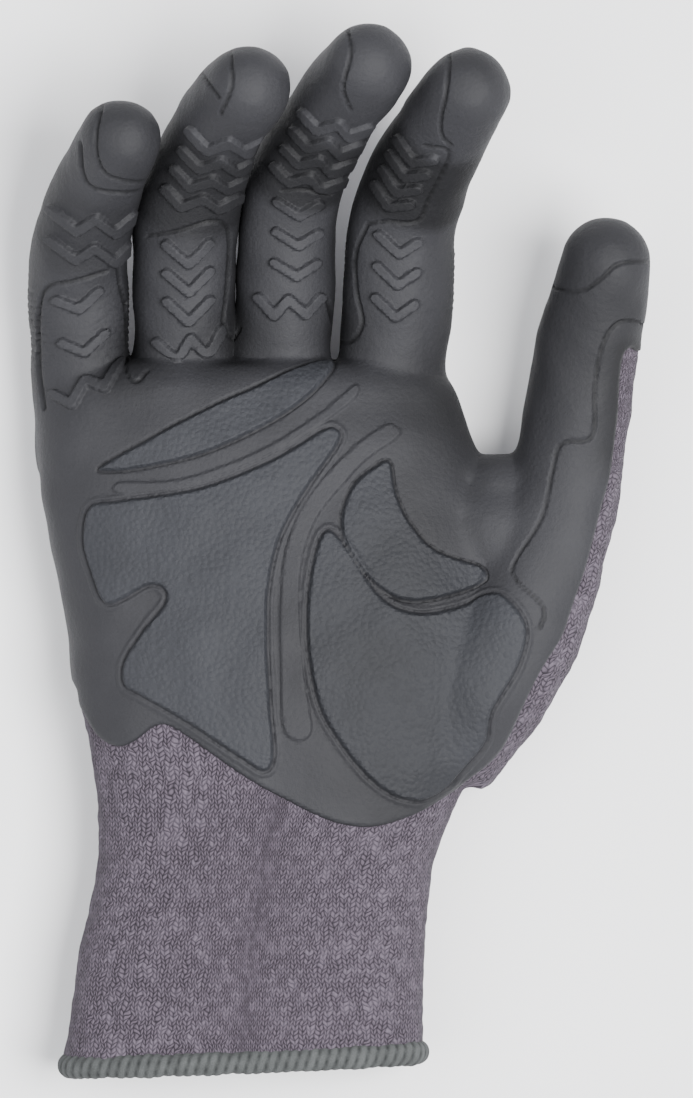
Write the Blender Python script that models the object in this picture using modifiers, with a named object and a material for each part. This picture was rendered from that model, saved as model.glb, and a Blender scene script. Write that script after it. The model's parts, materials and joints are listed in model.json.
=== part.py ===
"""Right-hand work glove: a knitted liner with a moulded rubber grip over its palm side.

The glove lies on its back with the palm up: +Z is the palm side, +Y points to the
fingertips and +X to the thumb. Z = 0 is the surface that the back and the hem rest on.
Sizes here are millimetres and degrees. A mesh is in metres, as MM says.

The liner is a tube in every finger and a bag in the palm. The grip lies on it over the
palm side, and closes round each fingertip. Both are divided at the knuckles, where a
flexible sleeve takes up the bend.
"""

import math
from dataclasses import dataclass

import bmesh
import bpy
from mathutils import Matrix, Vector
from mathutils.bvhtree import BVHTree

MM = 0.001

# Walls and clearances
LINER_WALL = 1.0
GRIP_WALL = 1.8
CUFF_WALL = 1.4
SLEEVE_WALL = 1.8
PAD_HEIGHT = 1.2
GAP = 0.3
PAD_GAP = 0.5
KNUCKLE_GAP = 1.0
SLEEVE_GAP = 0.5
LINER_INSET = GRIP_WALL + GAP
SLEEVE_INSET = 0.4

# How far the knuckles bend from rest, and how much of its knuckle a fingertip follows
MCP_BEND = 35.0
MCP_STRAIGHTEN = 10.0
PIP_BEND = 45.0
PIP_STRAIGHTEN = 25.0
DIP_SHARE = 0.6
THUMB_BEND = 25.0
THUMB_STRAIGHTEN = 10.0
THUMB_TIP_BEND = 35.0
THUMB_TIP_STRAIGHTEN = 15.0
WRIST_BEND = 35.0
BACK_SLOT = 1.8

# Fingers: how flat their sections are, and how far round them the grip reaches
SIDES = 12
DEPTH_SHARE = 0.95
GRIP_FROM = -30.0
GRIP_TO = 210.0
ROOT_LENGTH = 8.5
TIP_DOMES = (25.0, 50.0, 72.0)

# Palm
PALM_VOXEL = 7.5
PALM_SMOOTHING = 4
PALM_SIDES = 28
PALM_SQUARENESS = 2.5
SIDE_EDGE_Z = 9.0
LIMB_DEPTH_SHARE = 2.6
LIMB_OVERLAP = 6.0
WELD_DISTANCE = 0.05
FINGER_SIDE_REACH = 2.0
THUMB_SIDE_REACH = 4.0
WRIST_SIDE_REACH = 80.0
WRIST_CUT_DEPTH = 14.0
ABOVE_PALM = 60.0
SHARP_ANGLE = 50.0

# Cuff and hem
WRIST_Y = -72.0
CUFF_END_Y = -112.9
HEM_RADIUS = 3.3
HEM_LEAN = 3.5
HEM_LEFT_X = -62.0
HEM_RIGHT_X = 17.0
CUFF_DEPTH = 34.0


@dataclass
class Digit:
    """A finger or the thumb: where it leaves the hand, and its bones as (lean, rise, length).

    Lean turns a bone from +Y towards +X, and rise lifts it towards the palm side.
    """

    name: str
    root: tuple
    bones: tuple
    radii: tuple
    roll: float = 0.0


FINGERS = (
    Digit(
        "index_finger",
        (10.8, 44.5, 15.0),
        ((5, 16, 31.2), (25, 41, 23.0), (32, 52, 19.1)),
        (12.0, 11.7, 10.8, 10.0),
    ),
    Digit(
        "middle_finger",
        (-14.2, 44.9, 15.5),
        ((4, 15, 35.1), (27, 41, 23.3), (38, 51, 22.3)),
        (10.7, 10.6, 10.2, 10.0),
    ),
    Digit(
        "ring_finger",
        (-36.2, 39.8, 15.0),
        ((1, 16, 33.8), (19, 41, 26.3), (39, 54, 21.8)),
        (10.3, 10.2, 10.0, 9.9),
    ),
    Digit(
        "little_finger",
        (-59.4, 34.4, 14.0),
        ((-1, 15, 28.6), (15, 37, 22.0), (29, 49, 19.0)),
        (10.5, 10.2, 9.6, 9.2),
    ),
)
THUMB = Digit(
    "thumb",
    (51.0, 18.5, 21.0),
    ((8, 12, 27.5), (11, 25, 21.5)),
    (12.6, 12.0, 10.4),
    roll=42.0,
)

# Palm and thumb base as cross-sections: y, left x, right x, middle z, half depth
PALM_SECTIONS = (
    (-84.0, -60.5, 22.0, 16.5, 18.9),
    (-72.0, -57.8, 22.0, 16.5, 18.9),
    (-62.0, -57.6, 26.0, 16.7, 19.2),
    (-50.0, -58.2, 32.0, 17.0, 19.8),
    (-36.0, -60.4, 38.0, 17.4, 20.4),
    (-16.0, -64.0, 39.0, 17.2, 20.2),
    (4.0, -68.2, 36.0, 16.4, 19.2),
    (24.0, -70.0, 30.0, 15.6, 17.6),
    (38.0, -70.6, 24.6, 13.9, 16.0),
)
# Thumb base as a limb: centre and radius at each station
THUMB_BASE = (
    ((20.0, -48.0, 16.5), 15.0),
    ((30.0, -32.0, 18.0), 17.5),
    ((38.5, -18.0, 19.0), 17.0),
    ((45.5, -2.0, 20.0), 14.8),
    ((50.0, 13.0, 20.6), 13.0),
)
# Cuff as cross-sections below the wrist: y, left x, right x
CUFF_SECTIONS = (
    (-72.0, -55.6, 20.0),
    (-80.0, -56.4, 19.0),
    (-92.0, -59.0, 17.8),
    (-104.0, -61.0, 17.6),
    (-116.0, -62.6, 18.4),
)
# The grip's edges on the palm, each a point and the direction in which the rubber lies
GRIP_EDGES = (
    ((0.0, 0.0, SIDE_EDGE_Z), (0.0, 0.0, 1.0)),
    ((-60.0, -36.0, 0.0), (0.42, 0.91, 0.0)),
    ((5.0, -63.5, 0.0), (-0.50, 0.87, 0.0)),
    ((53.4, -7.9, 26.0), (-0.75, 0.35, 0.56)),
)

# Raised pads of the palm, as outlines in plan
PADS = {
    "upper_palm_pad": (
        (-54, 18), (-46, 22), (-34, 28), (-20, 36), (-5, 40),
        (-3, 37), (-14, 29), (-26, 23), (-38, 18), (-48, 16),
    ),
    "centre_palm_pad": (
        (-57, 8), (-46, 11), (-30, 14), (-14, 22), (-3, 26), (-2, 22), (-13, 6), (-17, -6), (-17, -40),
        (-18, -50), (-31, -42), (-47, -33), (-47, -26), (-41, -14), (-44, -9), (-52, -13), (-56, -4),
    ),
    "thumb_web_pad": (
        (6, 18), (10, 16), (13, 8), (20, 0), (31, -6), (29, -9), (17, -13), (8, -10), (1, 1), (1, 11),
    ),
    "thumb_base_pad": (
        (-4, 2), (-1, 2), (6, -10), (15, -15), (34, -12), (40, -20), (33, -38), (26, -52), (15, -58),
        (5, -53), (-5, -39), (-7, -28), (-7, -8),
    ),
}

COLOURS = {
    "grip": (0.060, 0.064, 0.072, 0.55),
    "pad": (0.055, 0.058, 0.064, 0.62),
    "sleeve": (0.050, 0.053, 0.060, 0.60),
    "knit": (0.135, 0.125, 0.145, 0.90),
    "hem": (0.085, 0.090, 0.092, 0.92),
}


@dataclass
class Bone:
    """One rigid stretch of a digit: its ends, its axes and its radius at each end."""

    start: Vector
    end: Vector
    along: Vector
    across: Vector
    palm: Vector
    radii: tuple

    def point(self, s, turn, inset=0.0):
        """A point on its surface, s millimetres along it and turn radians round it."""
        length = (self.end - self.start).length
        share = min(max(s / length, 0.0), 1.0)
        radius = self.radii[0] * (1.0 - share) + self.radii[1] * share - inset
        side = self.across * (radius * math.cos(turn))
        up = self.palm * (radius * DEPTH_SHARE * math.sin(turn))
        return self.start + self.along * s + side + up


def direction(lean, rise):
    """The unit vector of a bone that leans towards +X and rises towards +Z."""
    lean, rise = math.radians(lean), math.radians(rise)
    flat = math.cos(rise)
    return Vector((math.sin(lean) * flat, math.cos(lean) * flat, math.sin(rise)))


def bones_of(digit):
    """The digit's bones, the first one from its knuckle, ROOT_LENGTH past the web."""
    roll = math.radians(digit.roll)
    reference = Vector((math.cos(roll), 0.0, math.sin(roll)))
    bones = []
    start = Vector(digit.root)
    for index, (lean, rise, length) in enumerate(digit.bones):
        along = direction(lean, rise)
        if index == 0:
            start = start + along * ROOT_LENGTH
            length = length - ROOT_LENGTH
        end = start + along * length
        across = (reference - along * reference.dot(along)).normalized()
        bones.append(Bone(start, end, along, across, across.cross(along), digit.radii[index:index + 2]))
        start = end
    return bones


@dataclass
class Knuckle:
    """Two bones' meeting: the normals of the planes that each one's walls stay clear of."""

    before: Bone
    after: Bone
    rest: Vector
    short_of: list
    clear_of: list


def knuckle(before, after, bend, straighten):
    """The knuckle between two bones, with its middle planes at rest and at both its limits."""
    rest = (before.along + after.along).normalized()
    short_of, clear_of = [rest], [rest]
    for turn in (bend, -straighten):
        turned = Matrix.Rotation(math.radians(turn), 3, before.across)
        short_of.append((before.along + turned @ after.along).normalized())
        clear_of.append((turned.transposed() @ before.along + after.along).normalized())
    return Knuckle(before, after, rest, short_of, clear_of)


def set_back(bone, out, normal):
    """How far along a bone a line of its wall, this far out, is from a plane through the bone's end."""
    return out.dot(normal) / bone.along.dot(normal)


def stop_short(joint, turn):
    """How far the wall before a knuckle stops short of it."""
    out = joint.before.point(0.0, turn) - joint.before.start
    furthest = max(set_back(joint.before, out, normal) for normal in joint.short_of)
    return max(furthest + KNUCKLE_GAP, BACK_SLOT)


def start_clear(joint, turn):
    """How far past a knuckle the wall after it starts."""
    out = joint.after.point(0.0, turn) - joint.after.start
    furthest = max(-set_back(joint.after, out, normal) for normal in joint.clear_of)
    return max(furthest + KNUCKLE_GAP, BACK_SLOT)


def add_mesh(name, points, faces, body, colour, collection):
    """An object of these points, in the body's own axes, with a plain material of its own."""
    mesh = bpy.data.meshes.new(name)
    origin = body["centre"]
    mesh.from_pydata([(Vector(p) - origin) * MM for p in points], [], faces)
    mesh.update()
    thing = bpy.data.objects.new(name, mesh)
    thing.parent = body["empty"]
    collection.objects.link(thing)
    red, green, blue, rough = COLOURS[colour]
    material = bpy.data.materials.new(name)
    material.use_nodes = True
    shader = material.node_tree.nodes["Principled BSDF"]
    shader.inputs["Base Color"].default_value = (red, green, blue, 1.0)
    shader.inputs["Roughness"].default_value = rough
    shader.inputs["Metallic"].default_value = 0.0
    mesh.materials.append(material)
    mesh.shade_smooth()
    mesh.set_sharp_from_angle(angle=math.radians(SHARP_ANGLE))
    return thing


def thicken(thing, wall):
    """Solidify an open surface inwards."""
    modifier = thing.modifiers.new("wall", "SOLIDIFY")
    modifier.thickness = wall * MM
    modifier.offset = -1.0
    modifier.use_even_offset = True
    return thing


def grid_faces(rows, columns, closed):
    """Outward quads between rings of points that run along a tube, turning from side to palm."""
    faces = []
    for row in range(rows - 1):
        for column in range(columns if closed else columns - 1):
            after = (column + 1) % columns
            lower, upper = row * columns, (row + 1) * columns
            faces.append((lower + column, upper + column, upper + after, lower + after))
    return faces


def grip_turns():
    """The turns of a digit's wall, in radians, that the grip covers."""
    step = 360.0 / SIDES
    count = round((GRIP_TO - GRIP_FROM) / step)
    return [math.radians(GRIP_FROM + step * k) for k in range(count + 1)]


def full_turns():
    """Angles in radians once round a digit."""
    return [2.0 * math.pi * k / SIDES for k in range(SIDES)]


def bone_wall(name, joints, turns, closed, inset, wall, body, colour, collection):
    """A tube, or the part of one that turns covers, between a bone's two knuckles."""
    near, far = joints
    bone = near.after
    length = (bone.end - bone.start).length
    starts = [bone.point(start_clear(near, turn), turn, inset) for turn in turns]
    ends = [bone.point(length - stop_short(far, turn), turn, inset) for turn in turns]
    thing = add_mesh(name, starts + ends, grid_faces(2, len(turns), closed), body, colour, collection)
    return thicken(thing, wall)


def tip_wall(name, joint, inset, wall, body, colour, collection):
    """A thimble over the last bone, open at its knuckle and round at its end."""
    turns = full_turns()
    bone = joint.after
    length = (bone.end - bone.start).length
    radius = bone.radii[1] - inset
    points = [bone.point(start_clear(joint, turn), turn, inset) for turn in turns]
    points += [bone.point(length, turn, inset) for turn in turns]
    for dome in TIP_DOMES:
        rise, shrink = math.sin(math.radians(dome)), math.cos(math.radians(dome))
        centre = bone.end + bone.along * (radius * rise)
        for turn in turns:
            side = bone.across * (radius * shrink * math.cos(turn))
            up = bone.palm * (radius * shrink * DEPTH_SHARE * math.sin(turn))
            points.append(centre + side + up)
    rows = 2 + len(TIP_DOMES)
    faces = grid_faces(rows, SIDES, True)
    points.append(bone.end + bone.along * radius)
    last, pole = (rows - 1) * SIDES, len(points) - 1
    faces += [(last + (k + 1) % SIDES, last + k, pole) for k in range(SIDES)]
    thing = add_mesh(name, points, faces, body, colour, collection)
    return thicken(thing, wall)


def sleeve(name, joint, body, collection):
    """The flexible ring of grip and liner between two bones that meet at a knuckle."""
    before, after = joint.before, joint.after
    length = (before.end - before.start).length
    rings = []
    for inset in (SLEEVE_INSET, SLEEVE_INSET + SLEEVE_WALL):
        low, waist, high = [], [], []
        for turn in full_turns():
            low.append(before.point(length - stop_short(joint, turn) + SLEEVE_GAP, turn, inset))
            high.append(after.point(start_clear(joint, turn) - SLEEVE_GAP, turn, inset))
            end, start = before.point(length, turn, inset), after.point(0.0, turn, inset)
            end -= before.along * set_back(before, end - before.end, joint.rest)
            start -= after.along * set_back(after, start - after.start, joint.rest)
            waist.append((end + start) / 2.0)
        rings += [low, waist, high] if not rings else [high, waist, low]
    rings.append(rings[0])
    points = [point for ring in rings[:-1] for point in ring]
    wrapped = grid_faces(len(rings), SIDES, True)
    faces = [tuple(corner % len(points) for corner in face) for face in wrapped]
    return add_mesh(name, points, faces, body, "sleeve", collection)


def rounded_section(y, left, right, middle, half_depth, floor, sides):
    """A closed ring in the plane y, as wide as left to right, with squared-off ends."""
    centre, half = (left + right) / 2.0, (right - left) / 2.0
    power = 2.0 / PALM_SQUARENESS
    ring = []
    for k in range(sides):
        turn = 2.0 * math.pi * k / sides
        cos, sin = math.cos(turn), math.sin(turn)
        x = centre + half * math.copysign(abs(cos) ** power, cos)
        z = middle + half_depth * math.copysign(abs(sin) ** power, sin)
        ring.append(Vector((x, y, max(z, floor))))
    return ring


def limb_ring(centre, along, radius, sides):
    """A closed ring round a limb, square to its direction."""
    across = (Vector((1, 0, 0)) - along * along.x).normalized()
    palm = across.cross(along)
    turns = [2.0 * math.pi * k / sides for k in range(sides)]
    return [centre + across * (radius * math.cos(t)) + palm * (radius * math.sin(t)) for t in turns]


def lofted_solid(form, rings):
    """Adds a closed solid through these rings to a bmesh."""
    corners = [[form.verts.new(point) for point in ring] for ring in rings]
    for lower, upper in zip(corners, corners[1:]):
        count = len(lower)
        for k in range(count):
            form.faces.new((lower[k], upper[k], upper[(k + 1) % count], lower[(k + 1) % count]))
    form.faces.new(corners[0])
    form.faces.new(list(reversed(corners[-1])))


def palm_skin(digits):
    """The outer skin of the palm, the thumb's base and the fingers' roots, as one closed bmesh."""
    form = bmesh.new()
    lofted_solid(form, [rounded_section(*row, -LINER_INSET, PALM_SIDES) for row in PALM_SECTIONS])
    thumb = digits[-1]
    stations = [Vector(centre) for centre, _ in THUMB_BASE] + [thumb[0].start + thumb[0].along * LIMB_OVERLAP]
    radii = [radius for _, radius in THUMB_BASE] + [thumb[0].radii[0]]
    rings = []
    for k, centre in enumerate(stations):
        along = (stations[min(k + 1, len(stations) - 1)] - stations[max(k - 1, 0)]).normalized()
        rings.append(limb_ring(centre, along, radii[k], SIDES))
    lofted_solid(form, rings)
    for bones in digits[:-1]:
        bone = bones[0]
        reach = (-ROOT_LENGTH * LIMB_DEPTH_SHARE, -ROOT_LENGTH, LIMB_OVERLAP)
        centres = [bone.start + bone.along * s for s in reach]
        lofted_solid(form, [limb_ring(c, bone.along, bone.radii[0], SIDES) for c in centres])
    mesh = bpy.data.meshes.new("palm_form")
    form.to_mesh(mesh)
    form.free()
    thing = bpy.data.objects.new("palm_form", mesh)
    bpy.context.scene.collection.objects.link(thing)
    modifier = thing.modifiers.new("union", "REMESH")
    modifier.mode = "VOXEL"
    modifier.voxel_size = PALM_VOXEL
    bpy.context.view_layer.update()
    united = bpy.data.meshes.new_from_object(thing.evaluated_get(bpy.context.evaluated_depsgraph_get()))
    bpy.data.objects.remove(thing)
    skin = bmesh.new()
    skin.from_mesh(united)
    bpy.data.meshes.remove(united)
    for _ in range(PALM_SMOOTHING):
        bmesh.ops.smooth_vert(
            skin, verts=skin.verts, factor=0.5, use_axis_x=True, use_axis_y=True, use_axis_z=True
        )
    for vertex in skin.verts:
        vertex.co.z = max(vertex.co.z, -LINER_INSET)
    return skin


def bisect(skin, faces, point, normal, clear):
    """Cuts these faces by a plane, and drops what lies beyond it."""
    edges = {edge for face in faces for edge in face.edges}
    corners = {vertex for face in faces for vertex in face.verts}
    geometry = list(faces) + list(edges) + list(corners)
    bmesh.ops.bisect_plane(
        skin, geom=geometry, dist=1e-4, plane_co=point, plane_no=normal, clear_outer=clear
    )


def faces_past(skin, point, along, across, reach):
    """The faces past a point, and no further than reach from it to either side."""
    past = []
    for face in skin.faces:
        away = face.calc_center_median() - point
        if away.dot(along) > 0.0 and abs(away.dot(across)) < reach:
            past.append(face)
    return past


def part_fingers(skin, bones, reach):
    """Cuts between neighbouring fingers' roots, so that each can be opened by itself."""
    for one, other in zip(bones, bones[1:]):
        middle = (one.start + other.start) / 2.0
        apart = (one.start - other.start).normalized()
        start = middle - one.along * ROOT_LENGTH
        bisect(skin, faces_past(skin, start, one.along, apart, reach), middle, apart, False)


def open_end(skin, bone, bend, reach, root):
    """Opens the skin at a bone's knuckle, with a V on its palm side."""
    tilt = math.radians(bend)
    tilted = bone.along * math.cos(tilt) + bone.palm * math.sin(tilt)
    cuts = (
        (bone.start - tilted * KNUCKLE_GAP, tilted),
        (bone.start - bone.along * BACK_SLOT, bone.along),
    )
    for point, normal in cuts:
        near = faces_past(skin, bone.start - bone.along * root, bone.along, bone.across, reach)
        bisect(skin, near, point, normal, True)


def inset_skin(skin, distance):
    """Moves a skin inwards by an even distance."""
    skin.normal_update()
    moves = [(vertex, vertex.normal * (-distance * vertex.calc_shell_factor())) for vertex in skin.verts]
    for vertex, move in moves:
        vertex.co += move


def keep_where(skin, sides):
    """Cuts a skin along planes, and keeps what lies inside all of them."""
    for point, normal in sides:
        inwards = Vector(normal).normalized()
        bisect(skin, list(skin.faces), Vector(point) + inwards * (GAP / 2.0), -inwards, True)


def drop_islands(skin):
    """Keeps only the largest connected part of a skin."""
    left, islands = set(skin.verts), []
    while left:
        island, edge = set(), [left.pop()]
        while edge:
            vertex = edge.pop()
            island.add(vertex)
            beside = {link.other_vert(vertex) for link in vertex.link_edges} & left
            left -= beside
            edge += beside
        islands.append(island)
    largest = max(islands, key=len)
    loose = [vertex for island in islands if island is not largest for vertex in island]
    bmesh.ops.delete(skin, geom=loose, context="VERTS")


def skin_object(name, skin, wall, body, colour, collection):
    """A thickened object of an open skin."""
    drop_islands(skin)
    bmesh.ops.delete(skin, geom=[v for v in skin.verts if not v.link_faces], context="VERTS")
    bmesh.ops.dissolve_degenerate(skin, dist=WELD_DISTANCE, edges=skin.edges)
    bmesh.ops.triangulate(skin, faces=skin.faces)
    skin.verts.index_update()
    points = [vertex.co.copy() for vertex in skin.verts]
    faces = [[vertex.index for vertex in face.verts] for face in skin.faces]
    return thicken(add_mesh(name, points, faces, body, colour, collection), wall)


def palm_pieces(digits, wrist, body, collection):
    """The palm's liner and its grip, cut from one skin, and the skin itself for the pads."""
    skin = palm_skin(digits)
    tree = BVHTree.FromBMesh(skin)
    roots = [bones[0] for bones in digits[:-1]]
    half_pitch = (roots[0].start - roots[1].start).length / 2.0
    part_fingers(skin, roots, half_pitch)
    for bone in roots:
        open_end(skin, bone, MCP_BEND / 2.0, half_pitch + FINGER_SIDE_REACH, ROOT_LENGTH)
    bone = digits[-1][0]
    open_end(skin, bone, THUMB_BEND / 2.0, bone.radii[0] + THUMB_SIDE_REACH, ROOT_LENGTH / 2.0)
    down, across, up = Vector((0, -1, 0)), Vector((1, 0, 0)), Vector((0, 0, 1))
    arm = Bone(wrist, wrist + down, down, across, up, (0.0, 0.0))
    open_end(skin, arm, WRIST_BEND / 2.0, WRIST_SIDE_REACH, WRIST_CUT_DEPTH)
    liner = skin.copy()
    inset_skin(liner, LINER_INSET)
    skin_object("palm_liner", liner, LINER_WALL, body, "knit", collection)
    keep_where(skin, GRIP_EDGES)
    skin_object("palm_grip", skin, GRIP_WALL, body, "grip", collection)
    liner.free()
    skin.free()
    return tree


def pad(name, outline, tree, body, collection):
    """A raised pad of the palm: its outline filled, laid on the skin and thickened."""
    flat = bmesh.new()
    corners = [flat.verts.new((x, y, ABOVE_PALM)) for x, y in outline]
    flat.faces.new(corners)
    bmesh.ops.triangulate(flat, faces=flat.faces)
    bmesh.ops.subdivide_edges(flat, edges=flat.edges, cuts=2, use_grid_fill=True)
    bmesh.ops.triangulate(flat, faces=flat.faces)
    flat.normal_update()
    if sum(face.normal.z for face in flat.faces) < 0.0:
        bmesh.ops.reverse_faces(flat, faces=flat.faces)
    for vertex in flat.verts:
        hit = tree.ray_cast(vertex.co, Vector((0, 0, -1)))[0]
        vertex.co.z = hit.z + PAD_GAP + PAD_HEIGHT
    flat.verts.index_update()
    points = [vertex.co.copy() for vertex in flat.verts]
    faces = [[vertex.index for vertex in face.verts] for face in flat.faces]
    flat.free()
    thicken(add_mesh(name, points, faces, body, "pad", collection), PAD_HEIGHT)


def cuff_ring(y, bottom_lift):
    """The cuff's section at y, between the rows of CUFF_SECTIONS."""
    for (y0, left0, right0), (y1, left1, right1) in zip(CUFF_SECTIONS, CUFF_SECTIONS[1:]):
        if y >= y1:
            break
    share = (y - y0) / (y1 - y0)
    left = left0 + (left1 - left0) * share
    right = right0 + (right1 - right0) * share
    middle = CUFF_DEPTH / 2.0 + bottom_lift
    return rounded_section(y, left, right, middle, CUFF_DEPTH / 2.0 + 1.0, bottom_lift, PALM_SIDES)


def hem_lift(y):
    """How far the cuff's underside has risen at y to meet the thicker hem."""
    share = (WRIST_Y - y) / (WRIST_Y - CUFF_END_Y)
    return (HEM_RADIUS - CUFF_WALL / 2.0) * min(max(share, 0.0), 1.0)


def end_lean(x):
    """How much further down the cuff ends on the little finger's side."""
    return HEM_LEAN * (x - HEM_RIGHT_X) / (HEM_RIGHT_X - HEM_LEFT_X)


def wrist_trim(point, wrist):
    """How far the cuff and the palm stop short of the wrist's hinge at this height."""
    height = point.z - wrist.z
    return max(height * math.tan(math.radians(WRIST_BEND / 2.0)) + KNUCKLE_GAP, BACK_SLOT)


def cuff_pieces(wrist, body, collection):
    """The knitted cuff below the wrist and the sleeve that joins it to the palm's liner."""
    rows = 5
    points = []
    for row in range(rows):
        share = row / (rows - 1)
        for k in range(PALM_SIDES):
            top = WRIST_Y - wrist_trim(cuff_ring(WRIST_Y, 0.0)[k], wrist)
            foot = CUFF_END_Y + HEM_RADIUS + GAP
            end = foot + end_lean(cuff_ring(foot, hem_lift(foot))[k].x)
            y = end + (top - end) * share
            point = cuff_ring(y, hem_lift(y))[k]
            points.append(point)
    faces = grid_faces(rows, PALM_SIDES, True)
    thicken(add_mesh("cuff_knit", points, faces, body, "knit", collection), CUFF_WALL)
    points = []
    for side in (-1.0, 0.0, 1.0):
        for k in range(PALM_SIDES):
            at_wrist = cuff_ring(WRIST_Y, 0.0)[k]
            y = WRIST_Y + side * (wrist_trim(at_wrist, wrist) - GAP)
            points.append(Vector((at_wrist.x, y, at_wrist.z)))
    faces = grid_faces(3, PALM_SIDES, True)
    thicken(add_mesh("wrist_sleeve", points, faces, body, "knit", collection), CUFF_WALL)


def hem(body, collection):
    """The rolled overlock hem: a tube round the end of the cuff."""
    path = []
    inset = CUFF_WALL / 2.0
    ring = cuff_ring(CUFF_END_Y, hem_lift(CUFF_END_Y))
    middle = sum(ring, Vector()) / len(ring)
    for point in ring[::2]:
        inwards = Vector((middle.x - point.x, 0.0, middle.z - point.z)).normalized()
        place = point + inwards * inset
        place.z = max(place.z, HEM_RADIUS)
        place.y = CUFF_END_Y + end_lean(place.x)
        path.append(place)
    curve = bpy.data.curves.new("cuff_hem", "CURVE")
    curve.dimensions = "3D"
    curve.bevel_depth = HEM_RADIUS * MM
    curve.bevel_resolution = 2
    spline = curve.splines.new("POLY")
    spline.points.add(len(path) - 1)
    spline.use_cyclic_u = True
    for point, place in zip(spline.points, path):
        point.co = (*((place - body["centre"]) * MM), 1.0)
    thing = bpy.data.objects.new("cuff_hem", curve)
    thing.parent = body["empty"]
    collection.objects.link(thing)
    material = bpy.data.materials.new("cuff_hem")
    material.use_nodes = True
    shader = material.node_tree.nodes["Principled BSDF"]
    shader.inputs["Base Color"].default_value = (*COLOURS["hem"][:3], 1.0)
    shader.inputs["Roughness"].default_value = COLOURS["hem"][3]
    curve.materials.append(material)


def new_body(name, centre, parent, collection):
    """An empty on a joint's axis, that the pieces which turn about it are parented to."""
    empty = bpy.data.objects.new(name, None)
    empty.empty_display_size = 0.01
    centre = Vector(centre)
    if parent:
        empty.parent = parent["empty"]
        empty.location = (centre - parent["centre"]) * MM
    else:
        empty.location = centre * MM
    collection.objects.link(empty)
    return {"empty": empty, "centre": centre}


def root_of(digit, bone):
    """The short stretch of a digit between the palm's edge and its first knuckle."""
    start = bone.start - bone.along * ROOT_LENGTH
    return Bone(start, bone.start, bone.along, bone.across, bone.palm, (digit.radii[0], digit.radii[0]))


def phalanx(name, joints, body, collection):
    """The liner and the grip of a bone between two knuckles."""
    bone_wall(
        f"{name}_liner", joints, full_turns(), True, LINER_INSET, LINER_WALL, body, "knit", collection
    )
    bone_wall(f"{name}_grip", joints, grip_turns(), False, 0.0, GRIP_WALL, body, "grip", collection)


def fingertip(name, joint, body, collection):
    """The liner and the rubber cap of a digit's last bone."""
    tip_wall(f"{name}_liner", joint, LINER_INSET, LINER_WALL, body, "knit", collection)
    tip_wall(f"{name}_cap", joint, 0.0, GRIP_WALL, body, "grip", collection)


def finger(digit, bones, hand, collection):
    """A finger's three bones on their knuckles, with their liners, grips and sleeves."""
    first, second, third = bones
    mcp = knuckle(root_of(digit, first), first, MCP_BEND, MCP_STRAIGHTEN)
    pip = knuckle(first, second, PIP_BEND, PIP_STRAIGHTEN)
    dip = knuckle(second, third, PIP_BEND * DIP_SHARE, PIP_STRAIGHTEN * DIP_SHARE)
    name = digit.name
    proximal = new_body(f"{name}_mcp_axis", first.start, hand, collection)
    middle = new_body(f"{name}_pip_axis", second.start, proximal, collection)
    tip = new_body(f"{name}_dip_axis", third.start, middle, collection)
    phalanx(f"{name}_proximal", (mcp, pip), proximal, collection)
    phalanx(f"{name}_middle", (pip, dip), middle, collection)
    fingertip(f"{name}_tip", dip, tip, collection)
    sleeve(f"{name}_mcp_sleeve", mcp, proximal, collection)
    sleeve(f"{name}_pip_sleeve", pip, middle, collection)
    sleeve(f"{name}_dip_sleeve", dip, tip, collection)


def thumb(digit, bones, hand, collection):
    """The thumb's two bones on their knuckles, with their liners, grip, cap and sleeves."""
    first, second = bones
    mcp = knuckle(root_of(digit, first), first, THUMB_BEND, THUMB_STRAIGHTEN)
    end = knuckle(first, second, THUMB_TIP_BEND, THUMB_TIP_STRAIGHTEN)
    proximal = new_body("thumb_mcp_axis", first.start, hand, collection)
    tip = new_body("thumb_ip_axis", second.start, proximal, collection)
    phalanx("thumb_proximal", (mcp, end), proximal, collection)
    fingertip("thumb_tip", end, tip, collection)
    sleeve("thumb_mcp_sleeve", mcp, proximal, collection)
    sleeve("thumb_ip_sleeve", end, tip, collection)


def centre_on_origin(hand):
    """Moves the whole glove so that the origin lies under the middle of its box."""
    bpy.context.view_layer.update()
    depsgraph = bpy.context.evaluated_depsgraph_get()
    corners = []
    for thing in bpy.data.objects:
        if thing.type in {"MESH", "CURVE"}:
            evaluated = thing.evaluated_get(depsgraph)
            mesh = evaluated.to_mesh()
            corners += [evaluated.matrix_world @ vertex.co for vertex in mesh.vertices]
            evaluated.to_mesh_clear()
    middle_x = (min(c.x for c in corners) + max(c.x for c in corners)) / 2.0
    middle_y = (min(c.y for c in corners) + max(c.y for c in corners)) / 2.0
    hand["empty"].location.x -= middle_x
    hand["empty"].location.y -= middle_y
    bpy.context.view_layer.update()


def main():
    """Builds the glove."""
    for thing in list(bpy.data.objects):
        bpy.data.objects.remove(thing)
    collection = bpy.data.collections.new("work_glove")
    bpy.context.scene.collection.children.link(collection)
    digits = [bones_of(digit) for digit in (*FINGERS, THUMB)]
    hand = new_body("hand", (0.0, 0.0, 0.0), None, collection)
    wrist = Vector(((CUFF_SECTIONS[0][1] + CUFF_SECTIONS[0][2]) / 2.0, WRIST_Y, CUFF_DEPTH / 2.0))
    tree = palm_pieces(digits, wrist, hand, collection)
    for name, outline in PADS.items():
        pad(name, outline, tree, hand, collection)
    cuff = new_body("wrist_axis", wrist, hand, collection)
    cuff_pieces(wrist, cuff, collection)
    hem(cuff, collection)
    for digit, bones in zip(FINGERS, digits):
        finger(digit, bones, hand, collection)
    thumb(THUMB, digits[-1], hand, collection)
    centre_on_origin(hand)


main()
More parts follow.
